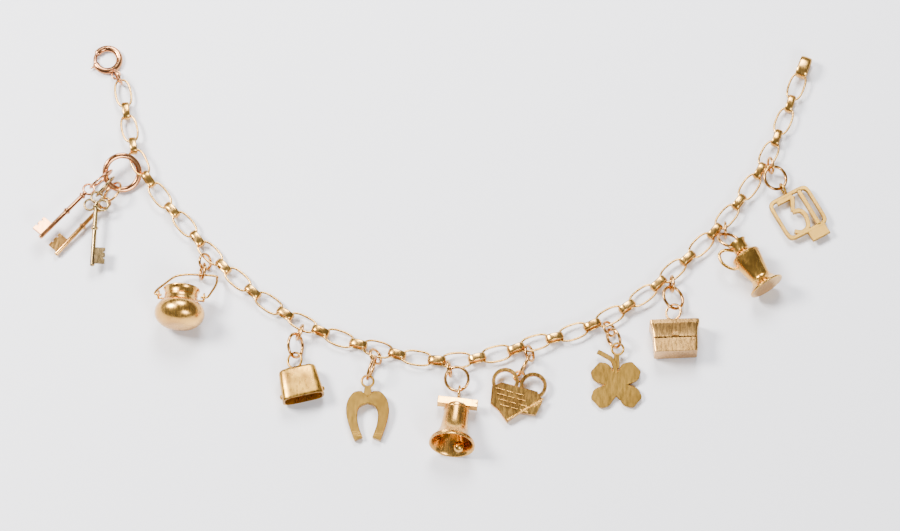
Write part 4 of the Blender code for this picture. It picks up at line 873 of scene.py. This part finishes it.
CLAPPER_LENGTH = 6.9 * MM
CLAPPER_BALL = 1.0 * MM
CLAPPER_STEM = 0.2 * MM
CLAPPER_ASIDE = Vector((1.2 * MM, 0.0, -1.7 * MM))
PIVOT_DROP = 0.77 * MM
pivot = ALONG * (crown - PIVOT_DROP)
down = math.sqrt(CLAPPER_LENGTH ** 2 - CLAPPER_ASIDE.length ** 2)
hang = (CLAPPER_ASIDE - ALONG * down).normalized()
clapper_turn = (-ALONG).rotation_difference(hang).to_matrix().to_4x4()
profile = [(0.0, 0.0), (CLAPPER_STEM, -0.1 * MM)]
profile += [(CLAPPER_BALL * math.sin(math.pi * k / 18),
             -CLAPPER_LENGTH + CLAPPER_BALL * math.cos(math.pi * k / 18)) for k in range(2, 18)]
profile.append((0.0, -CLAPPER_LENGTH - CLAPPER_BALL))
work = bmesh.new()
spin(work, profile, 32)
clapper = finished(work, "bell_clapper_ball", polished_gold,
                   BELL_PLACE @ Matrix.Translation(pivot) @ clapper_turn)
settle(clapper, "bell_clapper", "clapper")


# Heart: two lobes of square wire, a plain plate over their lower halves with raised plain
# lines on it, and an arrow soldered across the foot.
HEART_PLACE = placed(15.652, -24.855, 1.388, -90, -5)
HEART_THICKNESS = 0.9 * MM
HEART_PLATE = 1.3 * MM
HEART_LOBE = 2.45 * MM
HEART_WIRE = 0.65 * MM
HEART_LOOP = 0.95 * MM
HEART_ARROW = 0.2 * MM
HEART_LOBES = [(-2.5, -0.9), (2.5, -1.75)]
HEART_BOARD = [(-4.9, -1.9), (-3.1, -1.2), (3.2, -2.9), (4.1, -4.8), (2.9, -7.2), (0.0, -6.8),
               (-2.3, -8.5), (-3.7, -6.4), (-5.2, -5.1)]
PLATE_BEVEL = 0.1 * MM
LINE_SLOPE = -0.28
LINE_WIRE = 0.13 * MM
LINE_LEFT, LINE_TOP = -4.2, -2.3
LINE_ROWS, LINE_STEP, LINE_SHIFT = 4, 0.95, 0.25
LINE_PARTS = [(0.0, 1.6), (2.0, 1.1), (3.5, 1.5)]
ARROW_FOOT, ARROW_HEAD = Vector((-2.2, -8.1, 0.62)) * MM, Vector((4.2, -4.3, 0.62)) * MM
FLIGHT_WIRE = 0.09 * MM
FLIGHT_SHARES = (0.84, 0.91, 0.98)
work = bmesh.new()
h, v = HEART_WIRE / 2, HEART_THICKNESS / 2
lobe_section = [(-h, -0.75 * v), (-0.7 * h, -v), (0.7 * h, -v), (h, -0.75 * v), (h, 0.75 * v),
                (0.7 * h, v), (-0.7 * h, v), (-h, 0.75 * v)]
for x, y in HEART_LOBES:
    torus(work, Vector((x * MM, y * MM, 0.0)), UP, HEART_LOBE - h, lobe_section, 56)
face = HEART_PLATE / 2
slab(work, [(x * MM, y * MM) for x, y in HEART_BOARD[::-1]], -face, face, PLATE_BEVEL)
for row in range(LINE_ROWS):
    for shift, length in LINE_PARTS:
        x = LINE_LEFT + shift + LINE_SHIFT * row
        y = LINE_TOP - LINE_STEP * row + LINE_SLOPE * (x - LINE_LEFT)
        wire(work, [((x + reach) * MM, (y + LINE_SLOPE * reach) * MM, face)
                    for reach in (0.0, length / 2, length)], LINE_WIRE, 8, 2)
wire(work, [ARROW_FOOT, ARROW_FOOT.lerp(ARROW_HEAD, 0.5), ARROW_HEAD], HEART_ARROW, 12, 3)
for share in FLIGHT_SHARES:
    at = ARROW_FOOT.lerp(ARROW_HEAD, share)
    for side in (-1, 1):
        flight = Vector((-0.25, side * 0.35 - 0.1, 0.0)) * MM
        wire(work, [at, at + flight, at + flight * 2], FLIGHT_WIRE, 8, 2)
hanging_loop(work, HEART_LOOP)
settle(finished(work, "heart_wire_and_plate", polished_gold, HEART_PLACE, 35.0), "heart")


# Four-leafed clover: sawn from one satin sheet with notched leaves and softened edges, with a
# curled stem and a loop soldered beside it.
CLOVER_PLACE = placed(33.3, -19.631, 1.356, -90, -5)
CLOVER_THICKNESS = 0.8 * MM
CLOVER_REACH = 3.35 * MM
CLOVER_LEAF = 1.95 * MM
CLOVER_VALLEY = 2.1 * MM
CLOVER_MIDDLE = Vector((-0.35 * MM, -6.7 * MM))
LEAVES_AND_VALLEYS = [(43, 91), (139, 180), (222, 271), (320, 361)]
LEAF_STEPS, LEAF_STEP = 16, 2.2
NOTCH_DEPTH, NOTCH_STEPS = 0.35 * MM, 3.0
SCALLOP_DEPTH, SCALLOP_STEPS = 0.05 * MM, 3.2
STEM = [(-3.6 * MM, -0.5 * MM), (-2.3 * MM, -1.2 * MM), (-1.1 * MM, -2.0 * MM),
        (-0.55 * MM, -3.2 * MM), (-0.45 * MM, -5.6 * MM)]
STEM_WIDTH = 0.8 * MM
STEM_THICKNESS = 0.72 * MM


def round_middle(degrees, reach):
    """A point of the clover's outline, at a turn and a reach from its middle."""
    turn = math.radians(degrees)
    return (CLOVER_MIDDLE.x + reach * math.cos(turn), CLOVER_MIDDLE.y + reach * math.sin(turn))


outline = []
for leaf, valley in LEAVES_AND_VALLEYS:
    for step in range(-LEAF_STEPS, LEAF_STEPS + 1):
        turn = math.radians(LEAF_STEP * step)
        reach = CLOVER_REACH * math.cos(turn)
        reach += math.sqrt(CLOVER_LEAF ** 2 - (CLOVER_REACH * math.sin(turn)) ** 2)
        reach -= NOTCH_DEPTH * math.exp(-(step / NOTCH_STEPS) ** 2)
        reach += SCALLOP_DEPTH * math.cos(step * math.pi / SCALLOP_STEPS)
        outline.append(round_middle(leaf + LEAF_STEP * step, reach))
    outline.append(round_middle(valley, CLOVER_VALLEY))
work = bmesh.new()
slab(work, outline, -CLOVER_THICKNESS / 2, CLOVER_THICKNESS / 2, PLATE_BEVEL)


def band(points, width):
    """Outline of a band of even width along a line of points."""
    left, right = [], []
    last = len(points) - 1
    for i, point in enumerate(points):
        before, after = Vector(points[max(i - 1, 0)]), Vector(points[min(i + 1, last)])
        across = (after - before).normalized().orthogonal()
        left.append(tuple(Vector(point) + across * width / 2))
        right.append(tuple(Vector(point) - across * width / 2))
    return left + right[::-1]


slab(work, band(flowing(STEM, 4), STEM_WIDTH), -STEM_THICKNESS / 2, STEM_THICKNESS / 2, SOFT_EDGE)
hanging_loop(work, FLAT_LOOP)
slab(work, [(-0.7 * MM, -3.6 * MM), (0.3 * MM, -3.6 * MM), (0.3 * MM, -0.95 * MM),
            (-0.7 * MM, -0.95 * MM)], -LOOP_WIRE, LOOP_WIRE, TAB_BEVEL)
settle(finished(work, "clover_sawn", satin_gold, CLOVER_PLACE, 35.0), "clover")


# Little case: a box folded from sheet with a lid that stands out all round at its top edge, a
# catch stud at the front, a hinge pin's end at one side and a wire loop on a stalk.
BOX_PLACE = placed(43.368, -12.971, 2.336, -88)
BOX_LOOP = 1.45 * MM
BOX_WIDTH = 8.0 * MM
BOX_DEPTH = 4.2 * MM
BOX_HEIGHT = 2.6 * MM
BOX_WALL = 0.5 * MM
LID_WIDTH = 8.9 * MM
LID_HEIGHT = 3.9 * MM
LID_STALK = 0.6 * MM
LID_FASCIA = 0.8 * MM
LID_GAP = 0.12 * MM
BOX_SQUARENESS = 16
BOX_SIDES = 96
PIN_RADIUS = 0.2 * MM
CATCH_HALF, CATCH_HEIGHT = 0.5 * MM, 0.8 * MM
CATCH_DEPTH = 0.35 * MM
case_gold = worn_gold("case_gold", (0.72, 0.40, 0.12), (0.48, 0.25, 0.07), 0.18, 0.36, 0.12)
top = -BOX_LOOP - LID_STALK
seam = -BOX_LOOP - LID_HEIGHT
half, deep = BOX_WIDTH / 2, BOX_DEPTH / 2
flare = LID_WIDTH / BOX_WIDTH
soft = SOFT_EDGE
rows = [(0.0, 0.0, top), (half * flare - soft, deep * flare - soft, top),
        (half * flare, deep * flare, top - soft), (half * flare, deep * flare, top - LID_FASCIA),
        (half * flare - soft, deep * flare - soft, top - LID_FASCIA - soft),
        (half * 1.03, deep * 1.03, top - LID_FASCIA - 0.9 * MM), (half, deep, seam + 0.5 * MM),
        (half, deep, seam + soft), (half - soft, deep - soft, seam),
        (half - BOX_WALL, deep - BOX_WALL, seam),
        (half - BOX_WALL, deep - BOX_WALL, top - LID_FASCIA),
        (0.0, 0.0, top - LID_FASCIA)]
work = bmesh.new()
tapered(work, rows, BOX_SQUARENESS, BOX_SIDES)
hanging_loop(work, BOX_LOOP, LEANING_AXIS, 48)
slab(work, [(-0.6 * MM, top - 0.1 * MM), (0.6 * MM, top - 0.1 * MM),
            (0.45 * MM, 0.1 * MM - BOX_LOOP), (-0.45 * MM, 0.1 * MM - BOX_LOOP)],
     -LOOP_WIRE, LOOP_WIRE, TAB_BEVEL)
catch = seam + 0.1 * MM
slab(work, [(-CATCH_HALF, catch), (CATCH_HALF, catch), (CATCH_HALF, catch + CATCH_HEIGHT),
            (-CATCH_HALF, catch + CATCH_HEIGHT)], deep - 0.2 * MM, deep + CATCH_DEPTH, soft)
settle(finished(work, "box_lid_folded", case_gold, BOX_PLACE, 30.0), "box_lid")

edge = seam - LID_GAP
foot = edge - BOX_HEIGHT
rows = [(0.0, 0.0, foot + BOX_WALL), (half - BOX_WALL, deep - BOX_WALL, foot + BOX_WALL),
        (half - BOX_WALL, deep - BOX_WALL, edge), (half - soft, deep - soft, edge),
        (half, deep, edge - soft), (half, deep, edge - 0.3 * BOX_HEIGHT),
        (half * 0.985, deep, foot + 0.3 * BOX_HEIGHT), (half * 0.97, deep, foot + soft),
        (half * 0.97 - soft, deep - soft, foot), (0.0, 0.0, foot)]
work = bmesh.new()
tapered(work, rows, BOX_SQUARENESS, BOX_SIDES)
pin = bmesh.ops.create_uvsphere(work, u_segments=16, v_segments=10, radius=PIN_RADIUS)
bmesh.ops.translate(work, verts=pin["verts"], vec=(half - 0.7 * MM, edge - 0.5 * MM, deep))
settle(finished(work, "box_case_folded", case_gold, BOX_PLACE, 30.0), "box_body")


# Jug: turned with a narrow neck, a sharp shoulder and a spread foot, with a round wire handle.
# The real one hangs by its jump ring through two holes in its neck.
JUG_PLACE = placed(55.325, -0.626, 3.188, -58)
JUG_NECK = 1.45 * MM
JUG_SHOULDER = 2.7 * MM
JUG_WAIST = 1.85 * MM
JUG_FOOT = 3.3 * MM
JUG_WALL = 0.4 * MM
JUG_HANDLE = 0.3 * MM
JUG_BEAD = 0.06 * MM
JUG_RISE = 0.9 * MM
JUG_NECK_LENGTH = 2.9 * MM
JUG_BODY_LENGTH = 5.0 * MM
JUG_FOOT_LENGTH = 2.2 * MM
mouth = JUG_RISE
shoulder = mouth - JUG_NECK_LENGTH
waist = shoulder - JUG_BODY_LENGTH
foot = waist - JUG_FOOT_LENGTH
jug_gold = worn_gold("jug_gold", (0.80, 0.46, 0.10), (0.56, 0.29, 0.06), 0.14, 0.32)
n, s, w = JUG_NECK, JUG_SHOULDER, JUG_WAIST
profile = [
    (0.0, foot + 0.1 * MM), (0.8 * JUG_FOOT, foot), (0.97 * JUG_FOOT, foot),
    (JUG_FOOT, foot + 0.08 * MM), (JUG_FOOT, foot + 0.3 * MM), (0.95 * JUG_FOOT, foot + 0.42 * MM),
    (0.8 * JUG_FOOT, foot + 0.85 * MM), (w * 1.15, waist - 0.75 * MM), (w * 1.04, waist - 0.4 * MM),
    (w, waist - 0.1 * MM), (w * 1.01, waist + 0.2 * MM), (w + 0.35 * (s - w), waist + 1.6 * MM),
    (w + 0.75 * (s - w), waist + 3.2 * MM), (s * 0.99, shoulder - 0.5 * MM),
    (s, shoulder - 0.3 * MM), (s, shoulder - 0.1 * MM), (s * 0.97, shoulder),
    (s * 0.85, shoulder + 0.25 * MM), (n * 1.15, shoulder + 0.65 * MM), (n, shoulder + 0.95 * MM),
    (n, mouth - 0.9 * MM), (n * 1.1, mouth - 0.45 * MM), (n * 1.25, mouth - 0.1 * MM),
    (n * 1.22, mouth), (n * 1.25 - JUG_WALL, mouth - 0.02 * MM), (n - JUG_WALL, mouth - 0.9 * MM),
    (n - JUG_WALL, shoulder + 0.5 * MM), (s - 2 * JUG_WALL, shoulder - 0.4 * MM),
    (w - JUG_WALL, waist), (0.0, waist - 0.3 * MM)]
work = bmesh.new()
spin(work, profile, LATHE_SIDES)
handle_line = [(-1.3, -0.3), (-2.6, 0.7), (-3.9, 0.5), (-4.3, -1.2), (-3.5, -2.9), (-2.3, -3.6)]
wire(work, [(x * MM, y * MM, 0.0) for x, y in handle_line], JUG_HANDLE, 18)
for level, reach in ((shoulder - 0.42 * MM, JUG_SHOULDER), (waist - 0.05 * MM, JUG_WAIST)):
    torus(work, ALONG * level, ALONG, reach, round_section(JUG_BEAD, 8), LATHE_SIDES)
settle(finished(work, "jug_turned", jug_gold, JUG_PLACE, 32.0), "jug")


# Number frame: a rounded square frame pierced with a plain number, with a tab at its foot and
# a loop on edge at its top, sawn from one satin sheet.
NUMBER_PLACE = placed(63.676, 11.182, 1.168, -61)
FRAME_WIDTH = 8.3 * MM
FRAME_HEIGHT = 8.5 * MM
FRAME_THICKNESS = 0.8 * MM
FRAME_STRIP = 0.7 * MM
FRAME_STROKE = 0.8 * MM
FRAME_SQUARENESS, HOLE_SQUARENESS = 7, 9
NUMBER_GAP = 1.2 * MM
STROKE_LAYER = 0.004 * MM
TAB_LEFT, TAB_RIGHT = -0.4 * MM, 3.2 * MM
TAB_DROP = 1.9 * MM
TAB_INSET = 0.02 * MM
top = -FLAT_LOOP
half = FRAME_WIDTH / 2
middle = top - FRAME_HEIGHT / 2
low = top - FRAME_HEIGHT + FRAME_STRIP / 2
high = top - FRAME_STRIP - FRAME_STROKE / 3
right = half - FRAME_STRIP - NUMBER_GAP
left = FRAME_STRIP - half
thick = FRAME_THICKNESS / 2
work = bmesh.new()


def rounded_square(half_x, half_y, squareness, sides=72):
    return [(half_x * squared(a, squareness), middle + half_y * squared(b, squareness))
            for a, b in circle(sides)]


outer = rounded_square(half, FRAME_HEIGHT / 2, FRAME_SQUARENESS)
inner = rounded_square(half - FRAME_STRIP, FRAME_HEIGHT / 2 - FRAME_STRIP, HOLE_SQUARENESS)
soft = PLATE_BEVEL
frame_rows = []
for points, height in ((shrunk(outer, soft), -thick), (outer, soft - thick),
                       (outer, thick - soft), (shrunk(outer, soft), thick),
                       (shrunk(inner, -soft), thick), (inner, thick - soft),
                       (inner, soft - thick), (shrunk(inner, -soft), -thick)):
    frame_rows.append([work.verts.new((x, y, height)) for x, y in points])
skin(work, [*frame_rows, frame_rows[0]])
NUMBER_STROKES = [
    [(right, top - FRAME_STRIP / 2), (right, low)],
    [(left + MM, high), (0.8 * MM, high)],
    [(0.75 * MM, high), (-0.7 * MM, middle + 0.7 * MM)],
    [(-0.8 * MM, middle + 0.6 * MM), (0.5 * MM, middle + 0.2 * MM),
     (0.95 * MM, middle - 1.1 * MM), (0.3 * MM, low + 0.75 * MM),
     (-1.2 * MM, low + 0.3 * MM), (-2.4 * MM, low + 1.1 * MM)],
]
for number, stroke in enumerate(NUMBER_STROKES):
    line = flowing(stroke, 4) if len(stroke) > 2 else stroke
    layer = thick - STROKE_LAYER * number
    slab(work, band(line, FRAME_STROKE), -layer, layer, SOFT_EDGE)
tab_low = top - FRAME_HEIGHT - TAB_DROP
slab(work, [(TAB_LEFT, tab_low), (TAB_RIGHT, tab_low), (TAB_RIGHT, low), (TAB_LEFT, low)],
     TAB_INSET - thick, thick - TAB_INSET, PLATE_BEVEL)
hanging_loop(work, FLAT_LOOP, ACROSS)
settle(finished(work, "number_frame_sawn", satin_gold, NUMBER_PLACE, 35.0), "number_frame")
